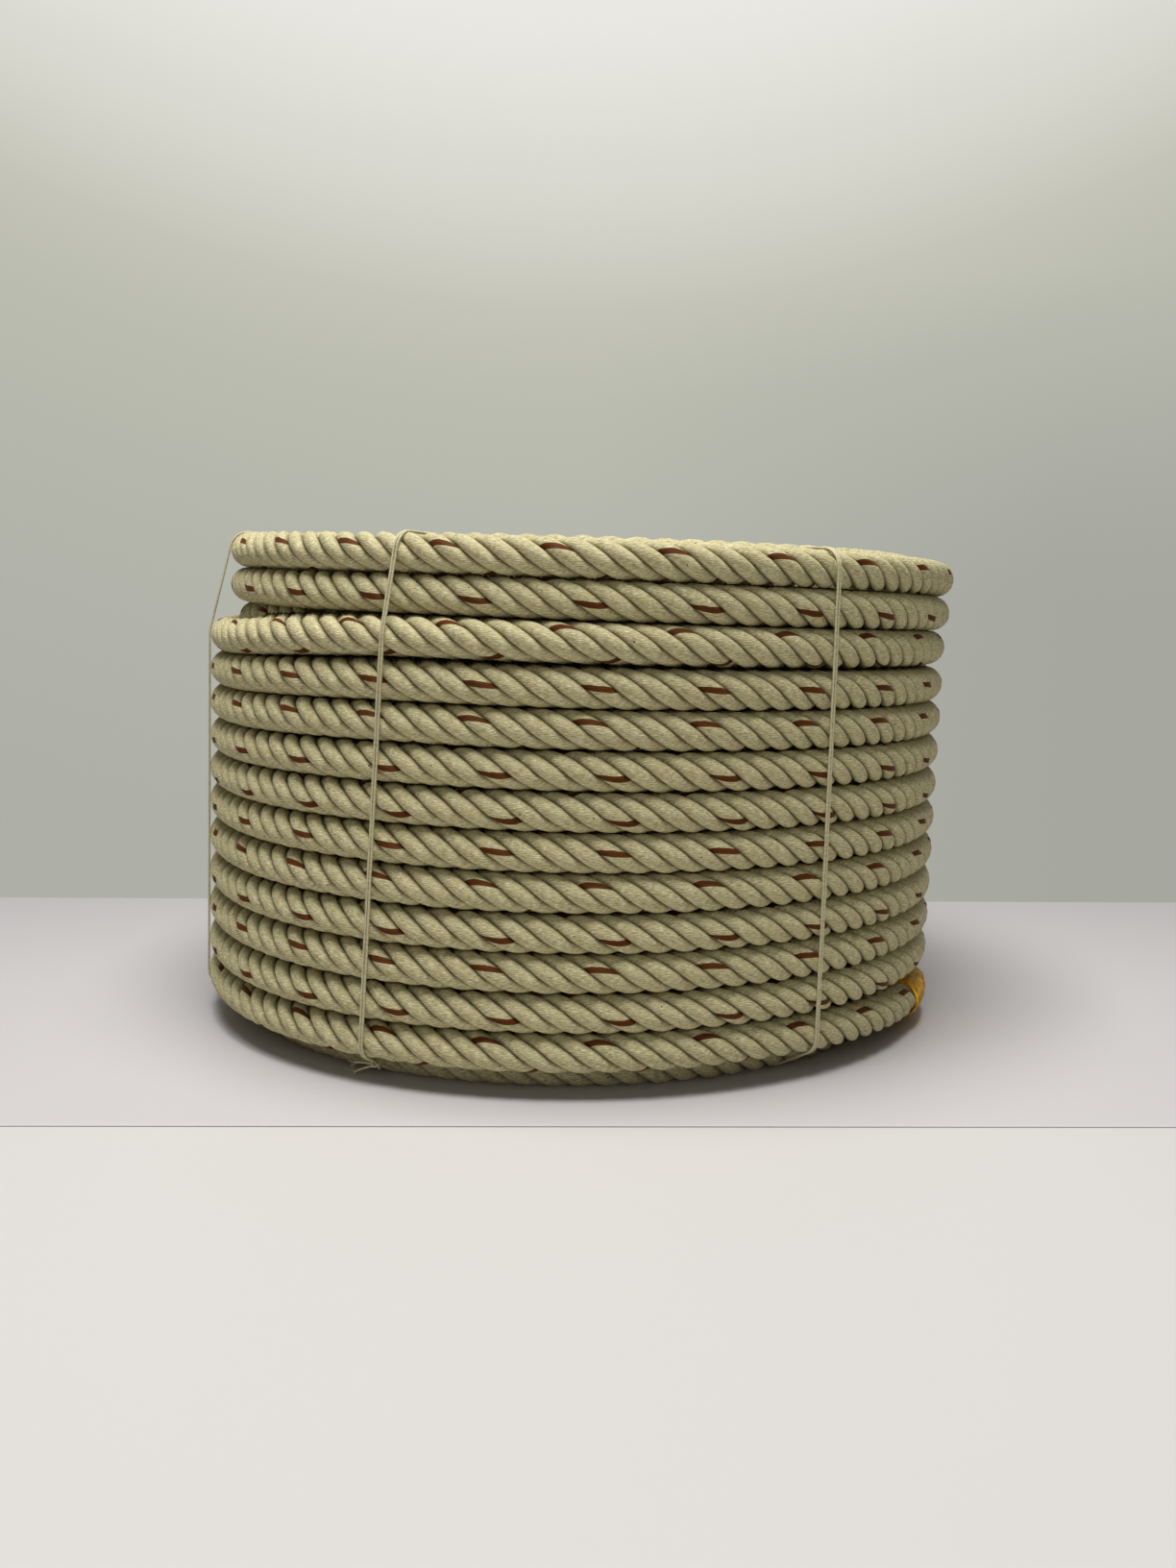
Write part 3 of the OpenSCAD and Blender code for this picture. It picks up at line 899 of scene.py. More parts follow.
@dataclass
class StrandedRope:
    """Four strands laid right-handed along the whole route, and the heart at each cut end."""

    line: Line
    lay: float = 0.045
    strands: int = 4
    marked_strand: int = 0
    # A strand's section in the rope's: half its depth, half its width, and its middle's radius.
    # Each strand lies flat against the next from this many degrees round its own section.
    half_depth: float = 0.00338
    half_width: float = 0.00392
    orbit: float = 0.00462
    pressed: float = 105.0
    heart_r: float = 0.0020
    # The inner layer is squeezed between the strings and the outer layer: taller, and narrower
    inner_height: float = 1.2
    inner_width: float = 0.95
    # The outer rows are pressed square towards the inner layer, which shuts the gaps between them.
    # It sets in past the film, and ends where rows lie farther apart than the gaps here.
    snug_from: tuple[float, float] = (0.046, 0.056)
    snug_overlap: float = 0.0006
    snug_gaps: tuple[float, float] = (0.0212, 0.0219)
    snug_reach: float = 0.0105
    snug_power: int = 8
    # Cosines of the angle round the rope, inward, over which the pressed half takes over
    snug_edge: tuple[float, float] = (0.22, 0.5)
    # How much a strand swells and thins along its length, and in what wavelengths
    plump: float = 0.00008
    plump_waves: tuple[float, ...] = (0.023, 0.041, 0.067)
    sides: int = 9
    rings_per_lay: tuple[int, int] = (20, 14)
    # The heart swells between the strands over this depth from the cut
    heart_swell: float = 0.006
    heart_sides: int = 24
    # Slope of the yarns to the rope's axis, and the marker yarn's turns to the surface in a lay
    yarn_lean: float = 0.075
    marks_per_lay: int = 3
    # Where the marker yarn crosses the crest of its strand nearest the front of each outer row,
    # from the lowest up: azimuth, and angle round the rope upwards from straight out
    marks: tuple[tuple[float, float], ...] = (
        (4, 50), (6, -15), (3.5, 26), (5, -15), (2.5, 38), (4.5, 9.5), (5.5, -26), (4, -14),
        (1, 31), (2, 4), (-2.5, 54), (-1.5, -12), (-6, 33))
    pieces: list[bpy.types.Object] = field(default_factory=list)
    hearts: list[bpy.types.Object] = field(default_factory=list)

    def __post_init__(self) -> None:
        """Settles how the lay and the marker stray from even, so that both pass every mark."""
        winding = self.line.winding
        rows = [(winding.outer_end_az - az) / 360 + row for row, (az, _) in enumerate(self.marks)]
        s = self.line.place(rows)
        stray = np.unwrap(np.radians([angle for _, angle in self.marks]) - TURN * s / self.lay)
        # At the plain rope's ends the strands lie square to the coil
        square = TURN / self.strands
        ends = np.array([winding.end_length, self.line.length - winding.end_length])
        even = TURN * ends / self.lay
        at_ends = square * np.round((stray[[0, -1]] + even) / square) - even
        self.stray_s = np.concatenate([ends[:1], s, ends[1:]])
        self.stray = np.concatenate([at_ends[:1], stray, at_ends[1:]])
        self.mark_s = s
        off = -self.across_yarns(s, 0.0, shifted=False)
        self.mark_shift = np.unwrap(off, period=self.mark_width)

    @property
    def radius(self) -> float:
        """The rope's radius over its strands."""
        return self.line.winding.rope_d / 2

    @property
    def mark_width(self) -> float:
        """Width of strand surface from one showing of the marker to the next."""
        return (TURN * self.radius - self.yarn_lean * self.lay) / self.marks_per_lay

    def places(self) -> np.ndarray:
        """Spaces out the strands' rings, closer together in the outer layer.

        Returns:
            Metres along the rope.
        """
        half = self.line.place(sum(self.line.winding.crossing) / 2)
        spans = [(0, half), (half, self.line.length)]
        counts = [round((b - a) / self.lay * n) for (a, b), n in zip(spans, self.rings_per_lay)]
        return np.concatenate([np.linspace(*spans[0], counts[0], endpoint=False),
                               np.linspace(*spans[1], counts[1])])

    def turn(self, s: np.ndarray) -> np.ndarray:
        """Angle through which the lay has turned at s."""
        return TURN * s / self.lay + np.interp(s, self.stray_s, self.stray)

    def across_yarns(self, s: np.ndarray, angle: np.ndarray, shifted: bool = True) -> np.ndarray:
        """Distance across the yarns at s, at an angle from the first strand's crest.

        Args:
            s: Metres along the rope.
            angle: Angle round the rope from the first strand's crest.
            shifted: Whether the marker's own stray counts.

        Returns:
            The distance, which is a whole number of mark widths along the marker yarn.
        """
        plain = (self.turn(s) + angle) * self.radius - self.yarn_lean * s
        return plain + np.interp(s, self.mark_s, self.mark_shift) if shifted else plain

    def squeezed(self, s: np.ndarray) -> np.ndarray:
        """How far the rope's section is squeezed in the inner layer.

        Args:
            s: Metres along the rope.

        Returns:
            Shares from 0 to 1.
        """
        winding = self.line.winding
        bare = ease(self.line.length - s, winding.end_length, 2 * winding.end_length)
        t = self.line.turns(s)
        return bare * ease(t, *winding.crossing) * (1 - winding.within(t, winding.nested))

    def snugness(self, s: np.ndarray) -> np.ndarray:
        """How far the rope lies snug between two rows, which it doesn't at the top and the ends.

        Args:
            s: Metres along the rope.

        Returns:
            Shares from 0 to 1.
        """
        winding = self.line.winding
        t = self.line.turns(s)
        last = winding.outer_end_az / 360 + winding.outer_turns - 0.5
        return ease(s, *self.snug_from) * (1 - ease(t, last - 0.5, last))

    def snug(self, s: np.ndarray, angle: np.ndarray) -> tuple[np.ndarray, np.ndarray]:
        """Presses the hidden inward half square, as high as the rows above and below lie close.

        Args:
            s: Metres along the rope.
            angle: Angles round the rope, a row for each place.

        Returns:
            The pressed section's radius, and how far the rope is pressed, from 0 to 1.
        """
        t = self.line.turns(s)
        upper = np.sin(angle) > 0
        gaps, reaches = [], []
        for turns in (1, -1):
            gap = self.line.winding.gap_beside(t, turns)
            # A row that isn't pressed itself has to be reached all the way
            halfway = self.snugness(self.line.place(t + turns))
            gaps.append(gap[:, None])
            reaches.append(mix(gap - self.radius, gap / 2, halfway)[:, None] + self.snug_overlap)
        close = 1 - ease(np.where(upper, *gaps), *self.snug_gaps)
        high = np.clip(np.where(upper, *reaches), self.radius, self.snug_reach)
        power = self.snug_power
        r = ((np.cos(angle) / self.radius) ** power
             + (np.sin(angle) / high) ** power) ** (-1 / power)
        return r, self.snugness(s)[:, None] * close * ease(-np.cos(angle), *self.snug_edge)

    def section(self) -> tuple[np.ndarray, np.ndarray]:
        """Shapes a strand's outer face, from groove to groove.

        Returns:
            Angles round the rope from the strand's crest, and radii.
        """
        a = np.radians(np.linspace(-self.pressed, self.pressed, self.sides))
        depth, width = self.orbit + self.half_depth * np.cos(a), self.half_width * np.sin(a)
        theta = np.arctan2(width, depth)
        return theta / theta[-1] * math.pi / self.strands, np.hypot(depth, width)

    def strand(self, index: int) -> bpy.types.Object:
        """Makes one strand from cut end to cut end.

        Args:
            index: The strand's number, from 0.

        Returns:
            The strand as one closed skin.
        """
        s = self.places()
        p, _, out, up = self.line.at(s)
        squeezed = self.squeezed(s)[:, None]
        out, up = out * mix(1, self.inner_width, squeezed), up * mix(1, self.inner_height, squeezed)
        theta, r = self.section()
        half = theta[-1]
        crest = self.turn(s)[:, None] + index * 2 * half
        plump = self.plump * waves(s, self.plump_waves, 11 + index)[:, None]
        pressed_r, snug = self.snug(s, crest + theta)
        r = mix(r + plump * np.cos(theta * math.pi / 2 / half), pressed_r, snug)
        # SUNK grows into the grooves and where rows are pressed, and sets the shade painted there
        sunk = np.hstack([np.maximum(np.abs(theta) / half, 2 * snug), np.ones((len(s), 1))])
        # One more point on each ring, against the heart, closes the section
        rings = rings_at(p, out, up, np.hstack([r, np.full((len(s), 1), self.heart_r)]),
                         np.hstack([crest + theta, crest]))
        arc = np.concatenate([theta, [half + 0.7, half + 1.4]]) + index * 2 * half
        maps = lay_map(s, self.across_yarns(s[:, None], arc))
        return ring_mesh(f"rope_strand_{index + 1}", rings,
                         maps | {BAKE_MAP: self.bake_rows(s, rings)}, sunk=sunk)

    def bake_rows(self, s: np.ndarray, rings: np.ndarray) -> tuple[np.ndarray, np.ndarray]:
        """Lays a strand out in straight strips that fill a square map.

        Args:
            s: The rings' places along the rope.
            rings: The strand's rings.

        Returns:
            The map's corners at the start and at the end of each row of faces.
        """
        # Between strips, and for each of the two hidden faces; caps lie above the filled share
        gap, hidden, filled = 0.0012, 0.0004, 0.955
        v = run(rings[0, :self.sides])
        v = np.append(v, [v[-1] + hidden, v[-1] + 2 * hidden])
        strip_h = v[-1] + gap
        strips = round(math.sqrt(self.line.length / strip_h))
        strip_l = self.line.length / strips
        strip = np.minimum((0.5 * (s[:-1] + s[1:]) / strip_l).astype(int), strips - 1)[:, None]
        base = strip * strip_h + gap + v
        step = 2 * (s[1] - s[0])
        size = max(strip_l + 2 * step, strips * strip_h + gap)
        start, end = (np.stack(np.broadcast_arrays(
            (place[:, None] - strip * strip_l + step) / size, base / size * filled), axis=-1)
            for place in (s[:-1], s[1:]))
        return start, end

    def heart(self, end: End) -> bpy.types.Object:
        """Makes the heart yarn in one rope end, which swells between the strands at the cut.

        Args:
            end: Which end.

        Returns:
            The heart as one closed skin.
        """
        deep, swell = self.line.winding.end_length, self.heart_swell
        depth = np.concatenate([np.linspace(deep, swell, 24), np.linspace(0.005, 0.0002, 8)])
        s = depth if end is End.OUTER else self.line.length - depth
        p, _, out, up = self.line.at(s)
        a = angles(self.heart_sides)
        lobe = 0.5 - 0.5 * np.cos(self.strands * a)
        r = 0.9 * self.heart_r + (1 - ease(depth, 0.0, swell))[:, None] * lobe ** 2 * (
            0.75 * self.section()[1][0] - self.heart_r)
        rings = rings_at(p, out, up, r, self.turn(s)[:, None] + a)
        maps = lay_map(s, np.append(a, TURN) * self.heart_r)
        return ring_mesh(f"{end.label}_heart_yarn", rings, maps, sunk=np.zeros(rings.shape[:2]))

    def build(self) -> None:
        """Makes the strands and the hearts."""
        self.pieces = [self.strand(i) for i in range(self.strands)]
        self.hearts = [self.heart(end) for end in End]

    def dress(self, plain: bpy.types.Material, marked: bpy.types.Material) -> None:
        """Gives every strand its fibre and hands the pieces over.

        Args:
            plain: The fibre of most strands.
            marked: The fibre of the strand that holds the marker yarn.
        """
        square = TURN / self.strands
        for i, piece in enumerate(self.pieces):
            nodes = []
            for end in End:
                s = self.stray_s[0 if end is End.OUTER else -1]
                quarter = round(float(self.turn(s)) / square) + i
                nodes.append(f"{end.label}_strand_{quarter % self.strands + 1}")
            if i == 0:
                nodes.append("rope_coil")
            hand_over(piece, marked if i == self.marked_strand else plain, "rope", *nodes)
        for end, piece in zip(End, self.hearts):
            hand_over(piece, plain, "heart", f"{end.label}_heart")

    def declare(self) -> None:
        turns = math.ceil(self.line.winding.total_turns)
        path = self.line.at(np.linspace(0, self.line.length, 48 * turns))[0]


@dataclass
class TapedEnds:
    """The amber film wound round each cut end, which shows the strands' lobes through it."""

    rope: StrandedRope
    length: float = 0.042
    bore_r: float = 0.0083
    # The film's mean height over its bore, and how far its inner face is sunk below that
    height: float = 0.0007
    sunk: float = 0.0002
    groove_depth: float = 0.000726
    # The film's own thickness, which shows as a step at each turn of the winding, and their lead
    wrap_step: float = 0.00012
    wrap_lead: float = 0.014
    crinkle: float = 0.00016
    # Crinkles in a metre of length, and in a radius of girth
    crinkle_grain: tuple[float, float] = (900, 5)
    hem_length: float = 0.0012
    hem_drop: float = 0.0003
    sides: int = 96
    step: float = 0.0007
    pieces: list[bpy.types.Object] = field(default_factory=list)

    def sleeve(self, end: End) -> bpy.types.Object:
        """Makes the film on one end.

        Args:
            end: Which end.

        Returns:
            The film as a sleeve, open at the cut.
        """
        line = self.rope.line
        depth = np.linspace(0.0, self.length, round(self.length / self.step))
        s = depth if end is End.OUTER else line.length - depth
        p, _, out, up = line.at(s)
        a = angles(self.sides)
        crest = 0.5 + 0.5 * np.cos(self.rope.strands * (a - self.rope.turn(s)[:, None]))
        wraps = np.mod(a / TURN + depth[:, None] / self.wrap_lead, 1.0)
        along, round_it = self.crinkle_grain
        crinkle = np.array([[noise.fractal(Vector((
            u * along, math.cos(v) * round_it, math.sin(v) * round_it)), 1.0, 2.2, 3)
            for v in a] for u in depth])
        inside = ease(np.minimum(depth, self.length - depth), 0.0, self.hem_length)[:, None]
        r = (self.bore_r + self.height + self.groove_depth * (crest ** 0.6 - 1)
             + self.wrap_step * wraps + self.crinkle * crinkle * inside)
        r = np.maximum(r - self.hem_drop * (1 - inside), self.bore_r + 0.0001)
        outer = rings_at(p, out, up, r, a)
        inner = rings_at(p, out, up, np.full_like(r, self.bore_r - self.sunk), a)
        u = np.concatenate([depth, depth[::-1] + self.length])
        return ring_mesh(f"{end.label}_tape_film", np.concatenate([outer, inner[::-1]]),
                         lay_map(u, np.append(a, TURN) * self.bore_r, closed=True), caps=False)

    def build(self) -> None:
        """Makes the film of both ends."""
        self.pieces = [self.sleeve(end) for end in End]

    def dress(self, film: bpy.types.Material) -> None:
        """Gives the film its finish."""
        for end, piece in zip(End, self.pieces):
            hand_over(piece, film, "tape", f"{end.label}_tape")


@dataclass
class TwineTie:
    """One doubled twine, drawn taut round all the rows at one azimuth, with its knot."""

    number: int
    azimuth: float
    winding: Winding
    low_knot: bool = False
    # How far the top lies towards +X of the foot on the outside, where that isn't the rows' lean
    front_lean: float | None = None
    gap: float = 0.00025
    # How far off the rope the strings' middle lies, as a share of the twine's diameter
    seat: float = 0.42
    ply_twist: float = 0.0042
    ply_depth: float = 0.14
    wander: float = 0.00012
    wander_waves: tuple[float, ...] = (0.021, 0.037, 0.09)
    knot_length: float = 0.0052
    # The knot's bight across the strings, along them and away from the rope
    knot_shape: tuple[float, float, float] = (0.62, 0.78, 0.95)
    knot_drop: float = 0.042
    tag_length: float = 0.011
    frayed: int = 12
    fray: tuple[float, float] = (0.0025, 0.006)
    fibre_r: float = 0.00014
    # How far the fibres part from the loose end's heading, curl, and start before its tip
    spread: float = 0.55
    curl: float = 0.0008
    rooted: float = 0.0008
    step: float = 0.0006
    strings: bpy.types.Object | None = None
    knot: bpy.types.Object | None = None

    @property
    def out(self) -> np.ndarray:
        """Direction away from the coil's axis in the tie's plane."""
        return outward(self.azimuth)

    @property
    def across(self) -> np.ndarray:
        """Direction across the tie's plane."""
        return np.cross(UP, self.out)

    def rows(self) -> np.ndarray:
        """Finds the rope's rows in the tie's plane.

        Returns:
            Each row as [distance from the axis, height].
        """
        turns = np.arange(0, math.ceil(self.winding.total_turns) + 1)
        t = (self.winding.outer_end_az - self.azimuth) / 360 + turns
        t = t[(t >= 0) & (t <= self.winding.total_turns)]
        p = self.winding.middle(t)
        r = p @ self.out
        aside = self.sideways(r, p[:, 2]) - self.along_rows(p[:, 2])
        p = self.winding.middle(t - aside / (TURN * r))
        return np.stack([p @ self.out, p[:, 2]], axis=-1)

    def along_rows(self, z: np.ndarray) -> np.ndarray:
        """How far the rows have shifted across the tie's plane at a height."""
        return self.winding.shift_x(z) * math.cos(math.radians(self.azimuth))

    def sideways(self, r: np.ndarray, z: np.ndarray) -> np.ndarray:
        """How far across its plane the tie lies.

        Args:
            r: Distances from the axis.
            z: Heights.

        Returns:
            Metres across the plane.
        """
        if self.front_lean is None:
            return self.along_rows(z)
        w = self.winding
        share = np.clip((r - w.inner_r) / (w.coil_r - w.inner_r), 0, 1)
        return mix(self.along_rows(z), self.front_lean * (z / w.top_z - 0.5), share)

    def loop(self) -> np.ndarray:
        """Draws the strings taut round the rows.

        Returns:
            Points as [distance from the axis, height], from the knot round to it.
        """
        reach = self.winding.rope_d / 2 + self.winding.twine_d * self.seat
        a = np.radians(np.arange(0, 360, 3))
        disc = reach * np.stack([np.cos(a), np.sin(a)], axis=-1)
        cloud = (self.rows()[:, None] + disc).reshape(-1, 2)
        cloud[:, 1] = np.maximum(cloud[:, 1], self.winding.twine_d / 2)
        hull = self.hull(cloud)
        closed = np.vstack([hull, hull[:1]])
        s = run(closed)
        even = np.linspace(0, s[-1], round(s[-1] / self.step), endpoint=False)
        points = np.stack([np.interp(even, s, closed[:, i]) for i in range(2)], axis=-1)
        start = int(np.argmin(np.linalg.norm(points - self.knot_place(points), axis=1)))
        half = max(1, round(self.knot_length / 2 / self.step))
        return np.roll(points, -start, axis=0)[half:len(points) - half + 1]

    @staticmethod
    def hull(cloud: np.ndarray) -> np.ndarray:
        """Finds the convex outline of a cloud of flat points.

        Args:
            cloud: The points.

        Returns:
            The outline's points, going one way round.
        """
        ordered = sorted(map(tuple, np.round(cloud, 9)))
        outline: list[tuple[float, float]] = []
        for pass_over in (ordered, ordered[::-1]):
            base = len(outline)
            for q in pass_over:
                while len(outline) > base + 1:
                    (ax, ay), (bx, by) = outline[-2], outline[-1]
                    if (bx - ax) * (q[1] - ay) - (by - ay) * (q[0] - ax) > 0:
                        break
                    outline.pop()
                outline.append(q)
            outline.pop()
        return np.array(outline)

    def knot_place(self, points: np.ndarray) -> np.ndarray:
        """Where the knot sits: under the lowest outer row, or on the bore's side below the top.

        Args:
            points: The loop's points.

        Returns:
            The place in the tie's plane.
        """
        if self.low_knot:
            low = points[(points[:, 1] < 0.012) & (points[:, 1] > 0.0012)]
            outer = low[low[:, 0] > self.winding.inner_r]
            return outer.mean(axis=0)
        side = points[points[:, 0] < self.winding.inner_r - self.winding.rope_d / 2]
        height = self.winding.top_z - self.knot_drop + 0.003
        return side[int(np.argmin(np.abs(side[:, 1] - height)))]

    def placed(self, points: np.ndarray, side: np.ndarray | float) -> np.ndarray:
        """Puts points of the tie's plane in space, shifted with the rows.

        Args:
            points: Distances from the axis and heights.
            side: Offset across the plane.

        Returns:
            Points in space.
        """
        shift = self.sideways(points[:, 0], points[:, 1]) + side
        return points[:, :1] * self.out + points[:, 1:] * UP + shift[:, None] * self.across

    def build(self) -> None:
        """Makes the two strings and the knot."""
        loop = self.loop()
        s = np.arange(len(loop)) * self.step
        parts = []
        for n, side in enumerate((-1, 1)):
            offset = side * (self.winding.twine_d + self.gap) / 2
            wander = self.wander * waves(s, self.wander_waves, 10 * self.number + n)
            line = self.placed(loop, offset + wander)
            parts.append(tube(f"string_{n}", line, self.winding.twine_d / 2, self.across,
                              self.ply_twist, self.ply_depth))
        self.strings = join(f"twine_tie_{self.number}", parts)
        self.knot = self.make_knot(self.placed(loop[[-1, 0]], 0.0))

    def make_knot(self, gap: np.ndarray) -> bpy.types.Object:
        """Makes the knot between the strings' ends, with two loose ends that fray.

        Args:
            gap: The two points between which the knot sits.

        Returns:
            The knot with its loose ends.
        """
        middle = gap.mean(axis=0)
        along = unit(gap[1] - gap[0])
        across = self.across
        away = unit(np.cross(along, across))
        # The knot's face: down and outward under the lowest row, or into the bore
        face = self.out - 0.8 * UP if self.low_knot else -self.out
        away = away if away @ face > 0 else -away
        r = self.winding.twine_d
        middle = middle + away * r * 0.7
        # A trefoil, as wide as the knot is long
        q = np.linspace(0, TURN, 90)
        bend = np.stack([np.sin(q) + 2 * np.sin(2 * q), np.cos(q) - 2 * np.cos(2 * q),
                         -np.sin(3 * q)], axis=-1)
        size = self.knot_length / 5.2
        shape = sum(bend[:, i:i + 1] * axis * size * share for i, (axis, share) in enumerate(
            zip((across, along, away), self.knot_shape)))
        parts = [tube("bight", middle + shape, r * 0.48, away + 0.3 * along, self.ply_twist,
                      self.ply_depth, sides=8)]
        for n, lean in enumerate((-1, 1)):
            parts += self.loose_end(middle, along, away, lean, n)
        return join(f"twine_knot_{self.number}", parts)

    def loose_end(self, middle: np.ndarray, along: np.ndarray, away: np.ndarray, lean: int,
                  n: int) -> list[bpy.types.Object]:
        """Makes one loose end and its frayed fibres.

        Args:
            middle: The knot's middle.
            along: Direction of the strings.
            away: Direction away from the rope.
            lean: -1 or 1, the side to which the end leans.
            n: The end's number, from 0.

        Returns:
            The parts.
        """
        across = self.across
        if self.low_knot:
            heading = unit(-across * 0.95 - UP * 0.12 * (n + 0.4) + away * 0.12 * lean)
        else:
            heading = unit(-UP + away * 0.42 + across * 0.42 * lean)
        k = np.linspace(0, 1, 20)[:, None]
        droop = -UP * 0.0012 * k ** 2 if self.low_knot else away * -0.0015 * k ** 2
        line = middle + heading * self.tag_length * k + droop
        parts = [tube(f"tag_{n}", line, self.winding.twine_d / 2, across + 0.2 * along + 0.3 * UP,
                      self.ply_twist, self.ply_depth, sides=8)]
        pick = np.random.default_rng(self.number * 10 + n)
        for i in range(self.frayed):
            spread = unit(heading + pick.uniform(-self.spread, self.spread, 3))
            reach = pick.uniform(*self.fray)
            j = np.linspace(0, 1, 6)[:, None]
            bend = pick.uniform(-self.curl, self.curl, 3) * j ** 2
            fibre = line[-1] - heading * self.rooted + spread * reach * j + bend
            fibre[:, 2] = np.maximum(fibre[:, 2], 0.0003)
            parts.append(tube(f"fibre_{n}_{i}", fibre, self.fibre_r * (1 - 0.5 * j[:, 0]),
                              across + 0.37 * along + 0.21 * UP, sides=5))
        return parts

    def dress(self, twine: bpy.types.Material) -> None:
        """Gives the strings and the knot their twine."""
        hand_over(self.strings, twine, "twine", f"tie_{self.number}")
        hand_over(self.knot, twine, "twine", f"knot_{self.number}")


# ---- Setting ------------------------------------------------------------------------------------


@dataclass(frozen=True)
class Setting:
    """Camera, pale table, backdrop and plain soft light."""

    lens: float = 34.374
    sensor: float = 36.0
    place: tuple[float, float, float] = (-0.00923, -0.7615, 0.2028)
    heading: float = 1.25
    pitch: float = 7.159
    roll: float = 0.5
    table_back_y: float = 0.227
    table_size: tuple[float, float] = (6.0, 4.0)
    ambient: float = 0.02
    ambient_tone: str = "#f4f4f2"
    # The wall's tones by the height of the line of sight, with painted light that grows paler
    # upwards
    wall: tuple[tuple[float, str], ...] = (
        (-0.2, "#aeafa7"), (0.0, "#b3b4aa"), (0.08, "#b9baae"), (0.12, "#bbbcb0"),
        (0.18, "#c4c4b8"), (0.24, "#d6d5cc"), (0.34, "#e9e8e2"))
    # The lit patch fades to the sides, so the tones dip there by this much of the square
    wall_dip: float = -0.6
    # The painted shade low on the right, and the sights to the right and up over which it comes in
    wall_right: str = "#a6a79f"
    right_span: tuple[float, float] = (0.02, 0.32)
    low_span: tuple[float, float] = (0.2, 0.0)
    ceiling_lamp: tuple[float, float, float] = (-0.06, -0.28, 1.45)
    ceiling_watts: float = 26.6
    window_lamp: tuple[float, float, float] = (-0.12, -1.5, 0.8)
    window_watts: float = 2.8
    lamps_aim: tuple[float, float, float] = (0.0, 0.0, 0.1)
    lamp_size: float = 0.8

    def camera(self) -> None:
        """Puts the camera in front of the coil, a little above its middle."""
        data = bpy.data.cameras.new("camera")
        data.lens, data.sensor_width, data.sensor_fit = self.lens, self.sensor, "AUTO"
        data.clip_start, data.clip_end = 0.01, 50.0
        camera = bpy.data.objects.new("camera", data)
        turn = (Matrix.Rotation(math.radians(-self.heading), 4, "Z")
                @ Matrix.Rotation(math.radians(90 - self.pitch), 4, "X")
                @ Matrix.Rotation(math.radians(self.roll), 4, "Z"))
        camera.matrix_world = Matrix.Translation(self.place) @ turn
        bpy.context.scene.collection.objects.link(camera)
        bpy.context.scene.camera = camera

    def floor(self) -> None:
        """Lays the pale table."""
        bpy.ops.object.select_all(action="DESELECT")
        bpy.ops.mesh.primitive_plane_add(size=1, location=(0, 0, 0))
        table = bpy.context.object
        table.name = "table"
        width, depth = self.table_size
        for corner in table.data.vertices:
            corner.co.x *= width
            corner.co.y = self.table_back_y if corner.co.y > 0 else self.table_back_y - depth
        table.data.materials.append(Laminate().make())
        table.select_set(False)

    def backdrop(self) -> None:
        """Colours the wall behind, with its painted light and shade, as it is seen and mirrored,
        and the room's light.
        """
        world = bpy.data.worlds.new("room")
        bpy.context.scene.world = world
        world.use_nodes = True
        tree = world.node_tree
        tree.nodes.clear()
        rays = add(tree, "LightPath", {}).node.outputs
        direct = rays["Is Camera Ray"]
        for kind in ("Is Glossy Ray", "Is Transmission Ray"):
            direct = add(tree, "Math", {0: direct, 1: rays[kind]}, operation="MAXIMUM")
        sight = add(tree, "TexCoord", {}, out="Generated")
        right, _, up = add(tree, "SeparateXYZ", {0: sight}).node.outputs
        aside = add(tree, "Math", {0: right, 1: 2.0}, operation="POWER")
        height = add(tree, "Math", {0: aside, 1: self.wall_dip, 2: up}, operation="MULTIPLY_ADD")
        shares = (add(tree, "MapRange", {"Value": value, "From Min": span[0], "From Max": span[1]})
                  for value, span in ((right, self.right_span), (up, self.low_span)))
        share = add(tree, "Math", dict(enumerate(shares)), operation="MULTIPLY")
        wall = add(tree, "Mix", {0: share, 6: tones(tree, height, self.wall),
                                 7: linear(self.wall_right)}, out=2, data_type="RGBA")
        room = add(tree, "Background", {0: linear(self.ambient_tone), 1: self.ambient})
        shown = add(tree, "Background", {0: wall, 1: 1.0})
        both = add(tree, "MixShader", {0: direct, 1: room, 2: shown})
        tree.links.new(both, tree.nodes.new("ShaderNodeOutputWorld").inputs[0])

    def lamps(self) -> None:
        """Hangs a broad soft lamp overhead and a weak one in front."""
        for name, place, watts in (("ceiling_lamp", self.ceiling_lamp, self.ceiling_watts),
                                   ("window_lamp", self.window_lamp, self.window_watts)):
            data = bpy.data.lights.new(name, "AREA")
            data.shape, data.size, data.energy = "SQUARE", self.lamp_size, watts
            lamp = bpy.data.objects.new(name, data)
            lamp.location = place
            aim = Vector(self.lamps_aim) - Vector(place)
            lamp.rotation_mode = "QUATERNION"
            lamp.rotation_quaternion = aim.to_track_quat("-Z", "Y")
            bpy.context.scene.collection.objects.link(lamp)


def main() -> None:
    """Builds the scene: camera and rope first, then what is on the rope, then the setting."""
    logging.basicConfig(level=logging.INFO, format="%(message)s")
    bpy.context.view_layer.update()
    setting = Setting()
    setting.camera()
    winding = Winding()
    line = Line(winding)
    rope = StrandedRope(line)
    rope.build()
    tapes = TapedEnds(rope)
    tapes.build()
    plain = SpunFibre().make()
    rope.dress(plain, SpunFibre(name="spun_polyester_marked_strand", marked=True).make())
    tapes.dress(AmberFilm().make())
    rope.declare()
    LOG.info("rope: %.3f m from cut end to cut end", line.length)
    twine = TwistedTwine().make()
    # The two front ties lean as drawn here, and the others with the rows
    for n, (azimuth, lean) in enumerate((
            (35, 0.003), (-27.5, 0.014), (-78, None), (-141, None), (-203, None), (-264, None))):
        tie = TwineTie(n + 1, azimuth, winding, low_knot=n == 1, front_lean=lean)
        tie.build()
        tie.dress(twine)
    setting.floor()
    setting.backdrop()
    setting.lamps()
    bpy.context.scene.view_settings.view_transform = "Standard"


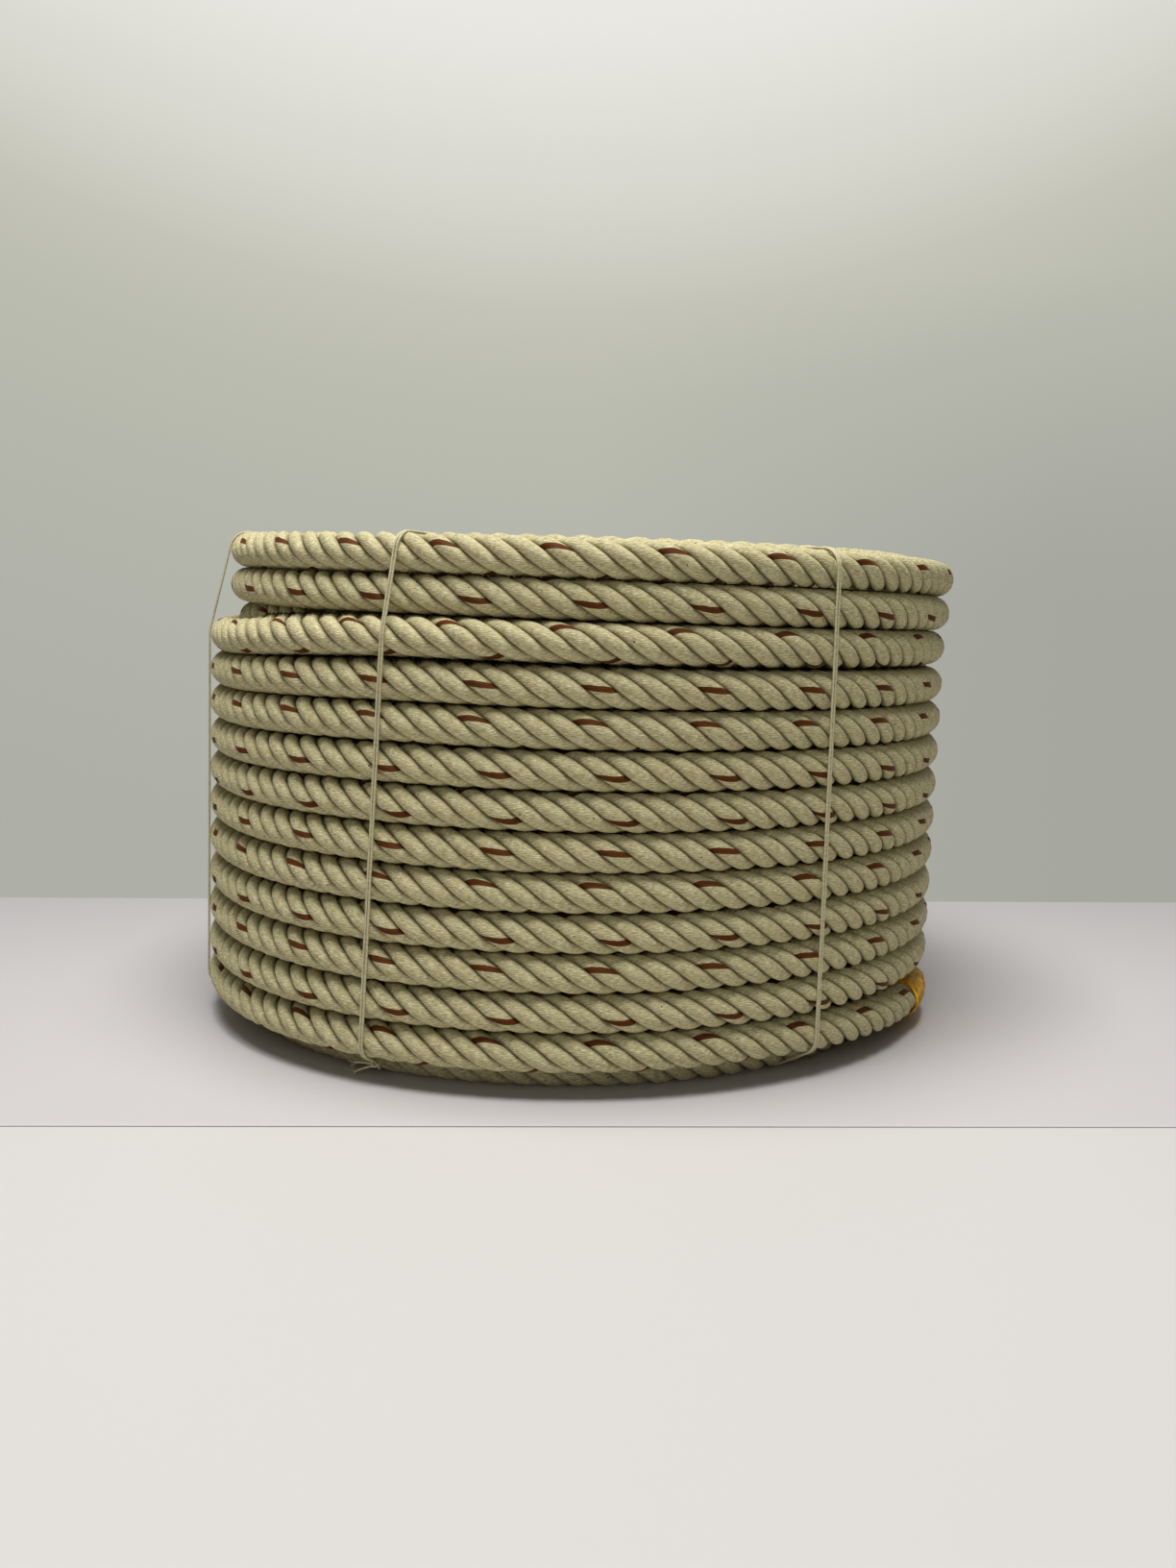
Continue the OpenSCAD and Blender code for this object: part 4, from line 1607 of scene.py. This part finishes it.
if __name__ == "__main__":
    main()
